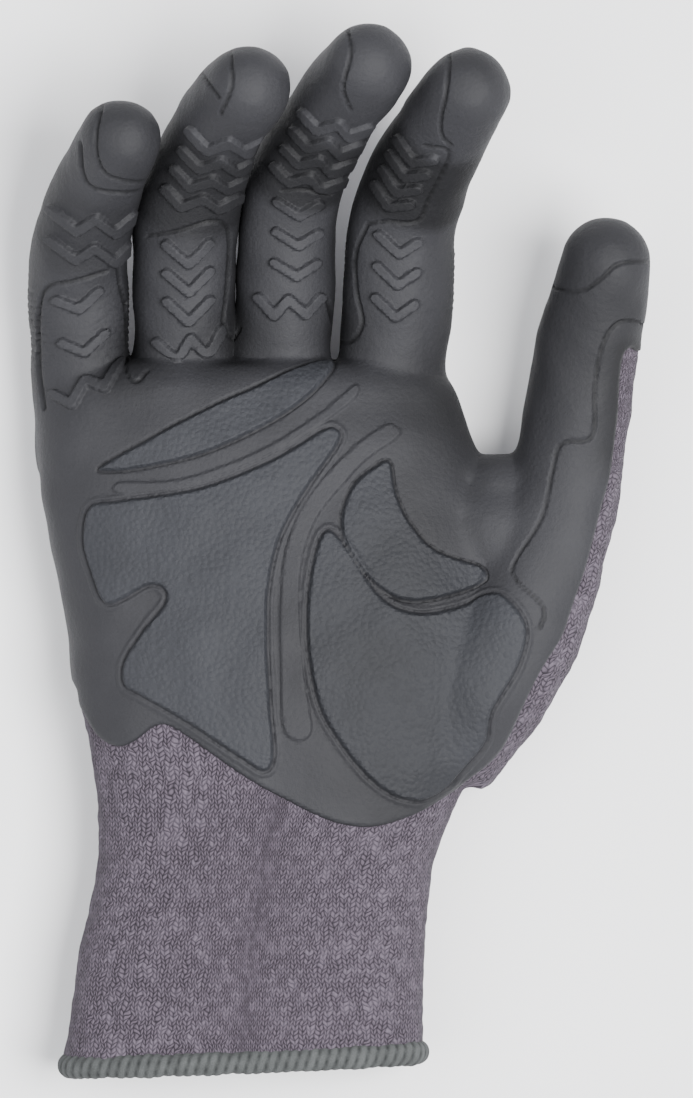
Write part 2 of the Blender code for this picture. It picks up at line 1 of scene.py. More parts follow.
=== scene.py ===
"""Looks of a right-hand work glove: a knitted liner with a moulded rubber grip on its palm side.

The glove lies on its back with the palm up, fingertips towards +Y and thumb towards +X. Its skin
is one smooth form. Ribs, pads, strips and grooves are cut into that form's rubber as real edges,
and the form is then divided at the knuckles into pieces. A piece on one CAD body rides it.
Lengths are millimetres until a mesh is made, and a mesh is in metres.
"""

from __future__ import annotations

import json
import logging
import math
from dataclasses import dataclass, field
from enum import Enum

import bpy
import numpy as np
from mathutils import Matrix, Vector, noise

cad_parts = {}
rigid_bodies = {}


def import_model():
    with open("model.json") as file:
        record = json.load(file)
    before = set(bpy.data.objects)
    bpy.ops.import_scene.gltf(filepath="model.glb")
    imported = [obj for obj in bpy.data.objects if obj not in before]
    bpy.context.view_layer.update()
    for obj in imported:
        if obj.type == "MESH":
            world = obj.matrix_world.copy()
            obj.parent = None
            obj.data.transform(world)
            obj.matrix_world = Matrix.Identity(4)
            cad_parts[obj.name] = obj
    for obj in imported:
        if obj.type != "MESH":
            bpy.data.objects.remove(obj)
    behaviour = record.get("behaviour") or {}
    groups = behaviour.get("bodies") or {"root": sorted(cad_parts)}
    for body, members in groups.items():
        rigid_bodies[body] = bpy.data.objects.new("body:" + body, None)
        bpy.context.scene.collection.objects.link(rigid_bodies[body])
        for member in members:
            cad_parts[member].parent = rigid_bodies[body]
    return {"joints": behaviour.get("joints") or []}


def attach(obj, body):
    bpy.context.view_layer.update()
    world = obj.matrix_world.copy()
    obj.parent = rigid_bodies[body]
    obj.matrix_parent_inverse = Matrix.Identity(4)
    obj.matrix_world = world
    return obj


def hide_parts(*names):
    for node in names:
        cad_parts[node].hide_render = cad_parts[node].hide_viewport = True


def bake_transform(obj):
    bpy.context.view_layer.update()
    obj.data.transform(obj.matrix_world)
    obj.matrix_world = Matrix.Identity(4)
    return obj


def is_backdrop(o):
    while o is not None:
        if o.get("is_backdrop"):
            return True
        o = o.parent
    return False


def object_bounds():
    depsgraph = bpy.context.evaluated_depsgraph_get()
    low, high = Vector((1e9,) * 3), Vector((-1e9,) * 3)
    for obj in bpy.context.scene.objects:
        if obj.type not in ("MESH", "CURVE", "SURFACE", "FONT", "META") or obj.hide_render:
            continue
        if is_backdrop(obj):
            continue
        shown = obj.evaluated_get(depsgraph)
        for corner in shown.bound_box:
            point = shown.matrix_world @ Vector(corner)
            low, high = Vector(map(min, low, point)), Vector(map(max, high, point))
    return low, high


LOG = logging.getLogger("glove")
MM = 0.001
FAR = 1.0e3
Point = tuple[float, float]


class Layer(Enum):
    """What a face of the glove's outer skin is made of."""

    KNIT = 0
    RUBBER = 1
    PAD = 2


# ---------------------------------------------------------------------------------------------
# Plane curves and distances
# ---------------------------------------------------------------------------------------------


@dataclass(frozen=True)
class Line:
    """A line drawn on the glove in plan: through its points, rounded or straight, open or closed."""

    points: tuple[Point, ...]
    rounded: bool = True
    closed: bool = False

    def path(self, steps: int = 5) -> np.ndarray:
        """The line as a chain of short straight runs.

        Args:
            steps: how many runs a rounded line has between two of its points.

        Returns:
            The chain's points, one a row. A closed line ends where it starts.
        """
        points = np.array(self.points, float)
        if self.closed:
            points = np.vstack([points, points[:1]])
        if not self.rounded:
            return points
        before = points[-2] if self.closed else 2.0 * points[0] - points[1]
        after = points[1] if self.closed else 2.0 * points[-1] - points[-2]
        knots = np.vstack([before, points, after])
        share = np.linspace(0.0, 1.0, steps, endpoint=False)[:, None]
        runs = [smooth_run(knots[k : k + 4], share) for k in range(len(points) - 1)]
        return np.vstack(runs + [points[-1:]])


def smooth_run(knots: np.ndarray, share: np.ndarray) -> np.ndarray:
    """A Catmull-Rom curve between the middle two of four knots.

    Args:
        knots: four points, one a row.
        share: how far along the run each wanted point is, as a column.

    Returns:
        The points, one a row.
    """
    a, b, c, d = knots
    cubic = -a + 3.0 * b - 3.0 * c + d
    square = 2.0 * a - 5.0 * b + 4.0 * c - d
    return 0.5 * (2.0 * b + (c - a) * share + square * share**2 + cubic * share**3)


def distance_to(points: np.ndarray, path: np.ndarray, reach: float) -> np.ndarray:
    """How far points are from a chain of straight runs.

    Args:
        points: the points, one a row, in two or three dimensions.
        path: the chain.
        reach: the distance past which the answer may simply be FAR.

    Returns:
        The distance of each point.
    """
    best = np.full(len(points), FAR)
    near = ((points > path.min(0) - reach) & (points < path.max(0) + reach)).all(1)
    here = points[near]
    nearest = np.full(len(here), FAR)
    for start, end in zip(path[:-1], path[1:]):
        run = end - start
        share = np.clip((here - start) @ run / max(run @ run, 1e-9), 0.0, 1.0)
        gap = here - start - share[:, None] * run
        nearest = np.minimum(nearest, np.sqrt((gap * gap).sum(1)))
    best[near] = nearest
    return best


def inside(points: np.ndarray, path: np.ndarray) -> np.ndarray:
    """Whether points lie inside a closed chain of straight runs, by counting crossings."""
    within = np.zeros(len(points), bool)
    for (x0, y0), (x1, y1) in zip(path[:-1], path[1:]):
        spans = (points[:, 1] < y0) != (points[:, 1] < y1)
        if not spans.any():
            continue
        crossing = x0 + (points[spans, 1] - y0) * (x1 - x0) / (y1 - y0)
        within[spans] ^= points[spans, 0] < crossing
    return within


def depth_inside(points: np.ndarray, line: Line, reach: float) -> np.ndarray:
    """How deep points lie inside a closed line, and less than nothing outside it."""
    path = line.path()
    gap = distance_to(points, path, reach)
    return np.where(inside(points, path), gap, -gap)


def ease(value: np.ndarray, low: float, high: float) -> np.ndarray:
    """A smooth rise from 0 at low to 1 at high."""
    share = np.clip((value - low) / (high - low), 0.0, 1.0)
    return share * share * (3.0 - 2.0 * share)


def unit(vectors: np.ndarray) -> np.ndarray:
    """The vectors at length one."""
    return vectors / np.maximum(np.linalg.norm(vectors, axis=-1, keepdims=True), 1e-12)


def lengths_along(path: np.ndarray) -> np.ndarray:
    """How far along a path each of its points is."""
    return np.concatenate([[0.0], np.cumsum(np.linalg.norm(np.diff(path, axis=0), axis=1))])


def look_up(where: np.ndarray, places: np.ndarray, table: np.ndarray) -> np.ndarray:
    """The table's rows at new places, each column interpolated by itself.

    Args:
        where: the new places.
        places: the place of each row, in rising order.
        table: the rows.

    Returns:
        One row for each new place.
    """
    return np.stack([np.interp(where, places, column) for column in table.T], -1)


# ---------------------------------------------------------------------------------------------
# The view that the glove is drawn in
# ---------------------------------------------------------------------------------------------


@dataclass(frozen=True)
class Viewpoint:
    """The eye, straight above the palm. The grip's pattern is drawn in plan as this eye sees it."""

    axis: Point = (1.2, 1.5)
    height: float = 2060.0
    view_height: float = 248.6
    sensor: float = 24.0

    def plan(self, points: np.ndarray) -> np.ndarray:
        """Where points appear on the floor's plane, seen from the eye."""
        axis = np.array(self.axis)
        return axis + (points[:, :2] - axis) / (1.0 - points[:, 2:] / self.height)

    def make_camera(self) -> None:
        """Adds the camera and makes it the scene's."""
        bpy.ops.object.camera_add(location=(self.axis[0] * MM, self.axis[1] * MM, self.height * MM))
        camera = bpy.context.object
        camera.data.sensor_fit = "VERTICAL"
        camera.data.sensor_height = self.sensor
        camera.data.lens = self.sensor * self.height / self.view_height
        bpy.context.scene.camera = camera


EYE = Viewpoint()


# ---------------------------------------------------------------------------------------------
# Digits
# ---------------------------------------------------------------------------------------------


def heading(lean: float, rise: float) -> np.ndarray:
    """A direction that leans from +Y towards +X and rises towards +Z, in degrees."""
    lean, rise = math.radians(lean), math.radians(rise)
    return np.array([math.sin(lean) * math.cos(rise), math.cos(lean) * math.cos(rise), math.sin(rise)])


@dataclass
class Digit:
    """A finger or the thumb: a limb along its joints, from inside the palm to its rounded tip.

    Attributes:
        name: the finger's name, as its CAD nodes and joints have it.
        joints: the last word of each joint's name, from the palm outwards.
        tip: the end bone's lean, rise and length up to the middle of the rounded tip.
        radii: half the liner's width at the root, at each joint and at the tip.
        spread: how far this finger is moved aside while the form is being joined.
        base: stations of the limb inside the palm, each a centre and a radius.
        root_length: how far into the palm a limb without a base starts.
        flatness: the limb's depth as a share of its width.
        sides, step: how many points a ring has, and how far apart the rings are.
        runs: how many steps the spine takes from one joint to the next before it is evened out.
        dome: the turns of the rounded tip's rings, in degrees from its foot.
        spread_from, spread_over: where along the limb it starts to move aside, and over what length.
    """

    name: str
    joints: tuple[str, ...]
    tip: tuple[float, float, float]
    radii: tuple[float, ...]
    spread: float = 0.0
    base: tuple[tuple[tuple[float, float, float], float], ...] = ()
    root_length: float = 26.0
    flatness: float = 0.95
    sides: int = 40
    step: float = 1.5
    runs: int = 8
    dome: tuple[float, ...] = (15.0, 30.0, 45.0, 58.0, 70.0, 81.0)
    spread_from: float = 22.0
    spread_over: float = 24.0
    joint_at: list[np.ndarray] = field(default_factory=list)
    joint_axis: list[np.ndarray] = field(default_factory=list)
    spine: np.ndarray | None = None
    width: np.ndarray | None = None
    across: np.ndarray | None = None
    run: np.ndarray | None = None

    def measure(self, joints: dict[str, dict]) -> None:
        """Works out the spine and the widths along it from the frame's joints.

        Args:
            joints: the record's joints by name.
        """
        found = [joints[f"{self.name}_{joint}"] for joint in self.joints]
        self.joint_at = [np.array(joint["pos_m"]) / MM for joint in found]
        self.joint_axis = [np.array(joint["axis"]) for joint in found]
        first, second = self.joint_at[0], self.joint_at[1]
        lean, rise, length = self.tip
        end = self.joint_at[-1] + heading(lean, rise) * length
        if self.base:
            roots = [np.array(centre) for centre, _ in self.base]
            radii = [radius for _, radius in self.base] + list(self.radii[1:])
        else:
            roots = [first - unit(second - first) * self.root_length]
            radii = list(self.radii)
        knots = roots + self.joint_at + [end]
        path = Line(tuple(map(tuple, knots))).path(self.runs)
        lengths = lengths_along(path)
        self.run = np.arange(0.0, lengths[-1] + self.step / 2.0, self.step)
        self.spine = look_up(self.run, lengths, path)
        at_knots = lengths[:: self.runs]
        self.width = np.interp(self.run, at_knots, radii)
        axes = [self.joint_axis[0]] * len(roots) + self.joint_axis + [self.joint_axis[-1]]
        across = look_up(self.run, at_knots, np.array(axes))
        along = self.along()
        self.across = unit(across - (across * along).sum(1)[:, None] * along)

    def along(self) -> np.ndarray:
        """The spine's direction at each of its points."""
        return unit(np.gradient(self.spine, axis=0))

    def aside(self, run: np.ndarray) -> np.ndarray:
        """How far the finger is moved aside at these distances along it."""
        start = self.spread_from
        return self.spread * ease(run, start, start + self.spread_over)

    def rings(self) -> list[np.ndarray]:
        """The limb's cross-sections from its root to its rounded tip, moved aside.

        Returns:
            The rings, each a row of points that turns from the thumb side to the palm side.
        """
        turns = np.linspace(0.0, 2.0 * math.pi, self.sides, endpoint=False)
        palm = np.cross(self.across, self.along())
        made = []
        shift = self.aside(self.run)
        for k, centre in enumerate(self.spine):
            side = np.outer(np.cos(turns), self.across[k])
            up = np.outer(np.sin(turns), palm[k]) * self.flatness
            ring = centre + (side + up) * self.width[k]
            ring[:, 0] += shift[k]
            made.append(ring)
        last = made[-1] - made[-1].mean(0)
        end = made[-1].mean(0)
        along = self.along()[-1]
        for turn in np.radians(self.dome):
            rise = along * self.width[-1] * math.sin(turn)
            made.append(end + rise + last * math.cos(turn))
        return made

    def place(self, points: np.ndarray, moved: bool) -> tuple[np.ndarray, np.ndarray]:
        """Where points lie along the limb, and how far they are from its surface.

        Args:
            points: the points, one a row.
            moved: whether the points are on the form that has its fingers moved aside.

        Returns:
            The distance along the spine, and the distance out of the limb's surface.
        """
        spine = self.spine.copy()
        if moved:
            spine[:, 0] += self.aside(self.run)
        best = np.full(len(points), FAR)
        where = np.zeros(len(points))
        for k in range(len(spine) - 1):
            step = spine[k + 1] - spine[k]
            share = np.clip((points - spine[k]) @ step / (step @ step), 0.0, 1.0)
            gap = points - spine[k] - share[:, None] * step
            out = np.sqrt((gap * gap).sum(1)) - self.width[k]
            closer = out < best
            best[closer] = out[closer]
            where[closer] = self.run[k] + share[closer] * self.step
        return where, best

    def around(self, points: np.ndarray, run: np.ndarray) -> tuple[np.ndarray, np.ndarray]:
        """The turn of points round the limb, and their height over it towards the palm side.

        Args:
            points: the points, one a row.
            run: where each lies along the spine.

        Returns:
            The turn, which is 0 on the thumb side and a quarter turn on the palm side, and the
            height as a share of the limb's radius.
        """
        palm = np.cross(self.across, self.along())
        centre, side, up = (look_up(run, self.run, each) for each in (self.spine, self.across, palm))
        out = points - centre
        width = np.interp(run, self.run, self.width)
        high = (out * up).sum(1)
        return np.arctan2(high, (out * side).sum(1)), high / width


def glove_digits(joints: dict[str, dict]) -> list[Digit]:
    """The four fingers from the index finger on, and the thumb last, measured on the frame."""
    finger_joints = ("mcp", "pip", "dip")
    thumb_base = (
        ((20.5, -45.5, 16.5), 14.5),
        ((30.5, -29.5, 18.0), 16.6),
        ((39.0, -15.5, 19.0), 16.0),
        ((46.0, 0.4, 20.0), 13.8),
        ((50.6, 15.4, 20.6), 12.4),
    )
    digits = [
        Digit("index_finger", finger_joints, (32, 52, 19.1), (11.4, 11.4, 11.2, 9.9, 9.0), 7.0),
        Digit("middle_finger", finger_joints, (38, 51, 22.3), (10.2, 10.2, 10.1, 9.2, 9.0), 2.4),
        Digit("ring_finger", finger_joints, (39, 54, 21.8), (9.8, 10.4, 11.0, 9.2, 8.9), -2.6),
        Digit("little_finger", finger_joints, (29, 49, 19.0), (9.8, 10.0, 10.5, 9.1, 8.3), -8.4),
        Digit("thumb", ("mcp", "ip"), (11, 25, 20.5), (12.0, 11.8, 11.3, 9.4), 0.0, thumb_base),
    ]
    for digit in digits:
        digit.measure(joints)
    return digits


# ---------------------------------------------------------------------------------------------
# Skin: a mesh in arrays that can be cut along a measured value
# ---------------------------------------------------------------------------------------------


@dataclass
class Skin:
    """A triangle mesh as arrays: its points, its faces, and values measured at the points."""

    points: np.ndarray
    faces: np.ndarray
    values: dict[str, np.ndarray] = field(default_factory=dict)
    snap: float = 0.12

    def cut(self, name: str, level: float = 0.0) -> None:
        """Splits the faces so that edges run where a value is at this level.

        Args:
            name: the value's name.
            level: the level that the new edges follow.
        """
        value = self.values[name]
        edges = np.sort(self.faces[:, [0, 1, 1, 2, 2, 0]].reshape(-1, 2), axis=1)
        keys, back = np.unique(edges[:, 0] * len(self.points) + edges[:, 1], return_inverse=True)
        edges = np.stack([keys // len(self.points), keys % len(self.points)], 1)
        back = back.reshape(-1, 3)
        side = value - level
        ends = side[edges]
        crosses = ends[:, 0] * ends[:, 1] < 0.0
        share = ends[:, 0] / np.where(crosses, ends[:, 0] - ends[:, 1], 1.0)
        snapped = np.concatenate(
            [edges[crosses & (share < self.snap), 0], edges[crosses & (share > 1.0 - self.snap), 1]]
        )
        value[snapped] = level
        side[snapped] = 0.0
        ends = side[edges]
        crosses = ends[:, 0] * ends[:, 1] < 0.0
        if not crosses.any():
            return
        share = (ends[crosses, 0] / (ends[crosses, 0] - ends[crosses, 1]))[:, None]
        fresh = np.zeros(len(edges), int)
        fresh[crosses] = len(self.points) + np.arange(crosses.sum())
        low, high = edges[crosses, 0], edges[crosses, 1]
        between = self.points[low] * (1 - share) + self.points[high] * share
        self.points = np.vstack([self.points, between])
        for key, old in self.values.items():
            part = share if old.ndim == 2 else share[:, 0]
            self.values[key] = np.concatenate([old, old[low] * (1 - part) + old[high] * part])
        self.values[name][-len(low) :] = level
        self.faces = self.split_faces(crosses[back], fresh[back])

    def split_faces(self, crossed: np.ndarray, fresh: np.ndarray) -> np.ndarray:
        """The faces, with those that have crossed edges split in two or three.

        Args:
            crossed: which of each face's three edges are crossed.
            fresh: the new point on each of those edges.

        Returns:
            The new faces.
        """
        count = crossed.sum(1)
        made = [self.faces[count == 0]]
        for k in range(3):
            one = (count == 1) & crossed[:, k]
            a, b, c = (self.faces[one, (k + turn) % 3] for turn in range(3))
            middle = fresh[one, k]
            made += [np.stack([a, middle, c], 1), np.stack([middle, b, c], 1)]
            two = (count == 2) & ~crossed[:, k]
            a, b, c = (self.faces[two, (k + turn) % 3] for turn in range(3))
            right, left = fresh[two, (k + 1) % 3], fresh[two, (k + 2) % 3]
            corners = ((a, b, right), (a, right, left), (left, right, c))
            made += [np.stack(corner, 1) for corner in corners]
        return np.vstack(made)

    def normals(self, points: np.ndarray, faces: np.ndarray) -> np.ndarray:
        """The points' normals over some of the faces, weighted by the faces' areas."""
        a, b, c = (points[faces[:, k]] for k in range(3))
        flat = np.cross(b - a, c - a)
        total = np.zeros_like(points)
        for k in range(3):
            for axis in range(3):
                total[:, axis] += np.bincount(faces[:, k], flat[:, axis], len(points))
        return unit(total)

    def of_faces(self, name: str) -> np.ndarray:
        """A value at the middle of each face."""
        return self.values[name][self.faces].mean(1)


# ---------------------------------------------------------------------------------------------
# Form of the filled glove
# ---------------------------------------------------------------------------------------------


def deselect() -> None:
    """Leaves object mode with nothing selected."""
    if bpy.context.object and bpy.context.object.mode != "OBJECT":
        bpy.ops.object.mode_set(mode="OBJECT")
    bpy.ops.object.select_all(action="DESELECT")


def shaped_sphere(
    name: str, rings: list[np.ndarray], poles: tuple[np.ndarray, np.ndarray]
) -> bpy.types.Object:
    """A sphere whose rings are moved to these sections, so that it becomes a closed limb.

    Args:
        name: the object's name.
        rings: the sections from one end to the other, with the same number of points each.
        poles: the points that close the two ends.

    Returns:
        The object.
    """
    sides, count = len(rings[0]), len(rings) + 1
    deselect()
    bpy.ops.mesh.primitive_uv_sphere_add(segments=sides, ring_count=count, radius=1.0)
    limb = bpy.context.object
    limb.name = name
    points = np.zeros(len(limb.data.vertices) * 3)
    limb.data.vertices.foreach_get("co", points)
    points = points.reshape(-1, 3)
    level = np.rint(np.arccos(np.clip(points[:, 2], -1.0, 1.0)) / math.pi * count).astype(int)
    turn = np.rint(np.arctan2(points[:, 1], points[:, 0]) / (2.0 * math.pi) * sides).astype(int) % sides
    table = np.array(rings)
    placed = table[np.clip(level - 1, 0, count - 2), turn]
    placed[level == 0] = poles[0]
    placed[level == count] = poles[1]
    limb.data.vertices.foreach_set("co", placed.ravel() * MM)
    limb.data.update()
    return limb


@dataclass
class Form:
    """The liner's outer surface, as a hand fills it: palm, thumb base, fingers and cuff in one.

    Attributes:
        sections: the palm and cuff as y, left x, right x, middle z and half depth.
        webs: balls that fill the skin between thumb and index finger, as centre and radius.
        squareness: the power of the sections' rounded outline.
        sides, step: how many points a ring has, and how far apart the rings are.
        end_taper, end_length: how the last ring narrows, and how far it lies past the one before.
        voxel, smoothing: the step and the rounds that unite and smooth the limbs.
        floor, floor_round: the height that the form stays above, and how softly it flattens there.
        wale_count: how many wales of knit go round the palm and the cuff.
        rounds: how often a finger's way back is worked out again, each time closer.
    """

    sections: tuple[tuple[float, ...], ...] = (
        (-118.0, -63.4, 18.0, 18.7, 15.4),
        (-110.0, -62.2, 18.3, 18.5, 15.7),
        (-100.0, -60.4, 18.6, 18.2, 16.3),
        (-88.0, -58.6, 18.8, 17.8, 16.9),
        (-76.0, -55.9, 19.8, 17.5, 17.2),
        (-66.0, -54.6, 21.6, 17.3, 17.4),
        (-56.0, -54.6, 25.8, 17.4, 18.0),
        (-44.0, -56.4, 31.0, 17.6, 18.8),
        (-32.0, -58.9, 35.5, 17.7, 19.3),
        (-14.0, -61.0, 38.0, 17.4, 19.2),
        (6.0, -65.0, 34.5, 16.6, 18.6),
        (26.0, -67.4, 28.6, 16.0, 17.2),
        (40.0, -68.4, 24.4, 15.2, 15.0),
    )
    webs: tuple[tuple[tuple[float, float, float], float], ...] = (
        ((33.5, 6.0, 19.0), 11.5),
        ((35.0, 14.0, 19.5), 8.2),
    )
    squareness: float = 2.5
    sides: int = 96
    step: float = 3.0
    end_taper: float = 0.8
    end_length: float = 4.0
    voxel: float = 1.5
    smoothing: int = 14
    floor: float = 0.35
    floor_round: float = 1.6
    wale_count: int = 128
    rounds: int = 4

    def section(self, y: float) -> tuple[float, float, float, float]:
        """The section at y, as left x, right x, middle z and half depth, on smooth curves."""
        table = np.array(self.sections)
        k = int(np.clip(np.searchsorted(table[:, 0], y) - 1, 0, len(table) - 2))
        rows = table[[max(k - 1, 0), k, k + 1, min(k + 2, len(table) - 1)], 1:]
        share = (y - table[k, 0]) / (table[k + 1, 0] - table[k, 0])
        return tuple(smooth_run(rows, np.array([[share]]))[0])

    def ring(self, y: float, turns: np.ndarray) -> np.ndarray:
        """The palm's or the cuff's rounded section at y, one point for each turn."""
        left, right, middle, depth = self.section(y)
        power = 2.0 / self.squareness
        cosine, sine = np.cos(turns), np.sin(turns)
        x = (left + right) / 2.0 + (right - left) / 2.0 * np.sign(cosine) * np.abs(cosine) ** power
        z = middle + depth * np.sign(sine) * np.abs(sine) ** power
        return np.stack([x, np.full_like(x, y), z], 1)

    def palm(self) -> bpy.types.Object:
        """The palm and the cuff as one closed limb."""
        turns = np.linspace(0.0, 2.0 * math.pi, self.sides, endpoint=False)
        first, last = self.sections[0][0], self.sections[-1][0]
        rings = [self.ring(y, turns) for y in np.arange(first, last + 0.1, self.step)]
        middle = rings[-1].mean(0)
        inner = middle + (rings[-1] - middle) * self.end_taper
        rings.append(inner + np.array([0.0, self.end_length, 0.0]))
        return shaped_sphere("palm_form", rings, (rings[0].mean(0), rings[-1].mean(0)))

    def limb(self, digit: Digit) -> bpy.types.Object:
        """A finger or the thumb as a closed limb, moved aside from its neighbours."""
        rings = digit.rings()
        tip = digit.spine[-1] + digit.along()[-1] * digit.width[-1]
        tip[0] += digit.aside(digit.run[-1:])[0]
        return shaped_sphere(f"{digit.name}_form", rings, (rings[0].mean(0), tip))

    def build(self, digits: list[Digit]) -> Skin:
        """Joins palm, web and digits into one smooth skin.

        Args:
            digits: the fingers and the thumb.

        Returns:
            The skin, with its fingers back in place.
        """
        parts = [self.palm()] + [self.limb(digit) for digit in digits]
        for centre, radius in self.webs:
            deselect()
            location = tuple(value * MM for value in centre)
            bpy.ops.mesh.primitive_uv_sphere_add(
                segments=32, ring_count=16, radius=radius * MM, location=location
            )
            parts.append(bpy.context.object)
        deselect()
        for part in parts:
            part.select_set(True)
        whole = parts[0]
        bpy.context.view_layer.objects.active = whole
        bpy.ops.object.join()
        bpy.ops.object.transform_apply(location=True, rotation=True, scale=True)
        self.finish(whole)
        mesh = whole.data
        mesh.calc_loop_triangles()
        points = np.zeros(len(mesh.vertices) * 3)
        mesh.vertices.foreach_get("co", points)
        faces = np.zeros(len(mesh.loop_triangles) * 3, int)
        mesh.loop_triangles.foreach_get("vertices", faces)
        bpy.data.objects.remove(whole)
        points = points.reshape(-1, 3) / MM
        places = [digit.place(points, True) for digit in digits]
        nearest = np.argmin(np.stack([out for _, out in places]), 0)
        for k, digit in enumerate(digits):
            own = nearest == k
            points[own] = self.back_in_place(digit, points[own], places[k][0][own])
        low = points[:, 2] - self.floor
        points[:, 2] = self.floor + 0.5 * (low + np.sqrt(low * low + self.floor_round**2))
        return Skin(points, faces.reshape(-1, 3))

    def back_in_place(self, digit: Digit, points: np.ndarray, run: np.ndarray) -> np.ndarray:
        """Takes back the move aside that a finger's points had while the form was joined.

        Args:
            digit: the finger.
            points: its points, moved aside.
            run: a first guess of where each lies along the finger.

        Returns:
            The points in place.
        """
        placed = points.copy()
        for _ in range(self.rounds):
            placed[:, 0] = points[:, 0] - digit.aside(run)
            run = digit.place(placed, False)[0]
        return placed

    def finish(self, whole: bpy.types.Object) -> None:
        """Unites, smooths and refines the joined limbs, with modifiers that are then applied."""
        unite = whole.modifiers.new("unite", "REMESH")
        unite.mode = "VOXEL"
        unite.voxel_size = self.voxel * MM
        soften = whole.modifiers.new("soften", "SMOOTH")
        soften.factor = 0.5
        soften.iterations = self.smoothing
        refine = whole.modifiers.new("refine", "SUBSURF")
        refine.levels = refine.render_levels = 1
        for modifier in list(whole.modifiers):
            bpy.ops.object.modifier_apply(modifier=modifier.name)


# ---------------------------------------------------------------------------------------------
# The grip's moulded pattern, drawn in plan
# ---------------------------------------------------------------------------------------------


def chevrons(first: Point, step: Point, count: int, arms: tuple[float, ...]) -> list[Line]:
    """A column of V-shaped ribs.

    Args:
        first: the point of the first V.
        step: how far each V is from the one before.
        count: how many there are.
        arms: the left arm's end and the right arm's end, from the V's point.

    Returns:
        The ribs.
    """
    left, right = np.array(arms[:2]), np.array(arms[2:])
    made = []
    for k in range(count):
        tip = np.array(first) + np.array(step) * k
        made.append(Line((tuple(tip + left), tuple(tip), tuple(tip + right)), rounded=False))
    return made


def zigzags(first: tuple[Point, ...], step: Point = (0.0, 0.0), count: int = 1) -> list[Line]:
    """A column of zigzag ribs, each a copy of the first one, further along by step."""
    moves = [np.array(step) * k for k in range(count)]
    return [Line(tuple(tuple(np.array(p) + move) for p in first), rounded=False) for move in moves]


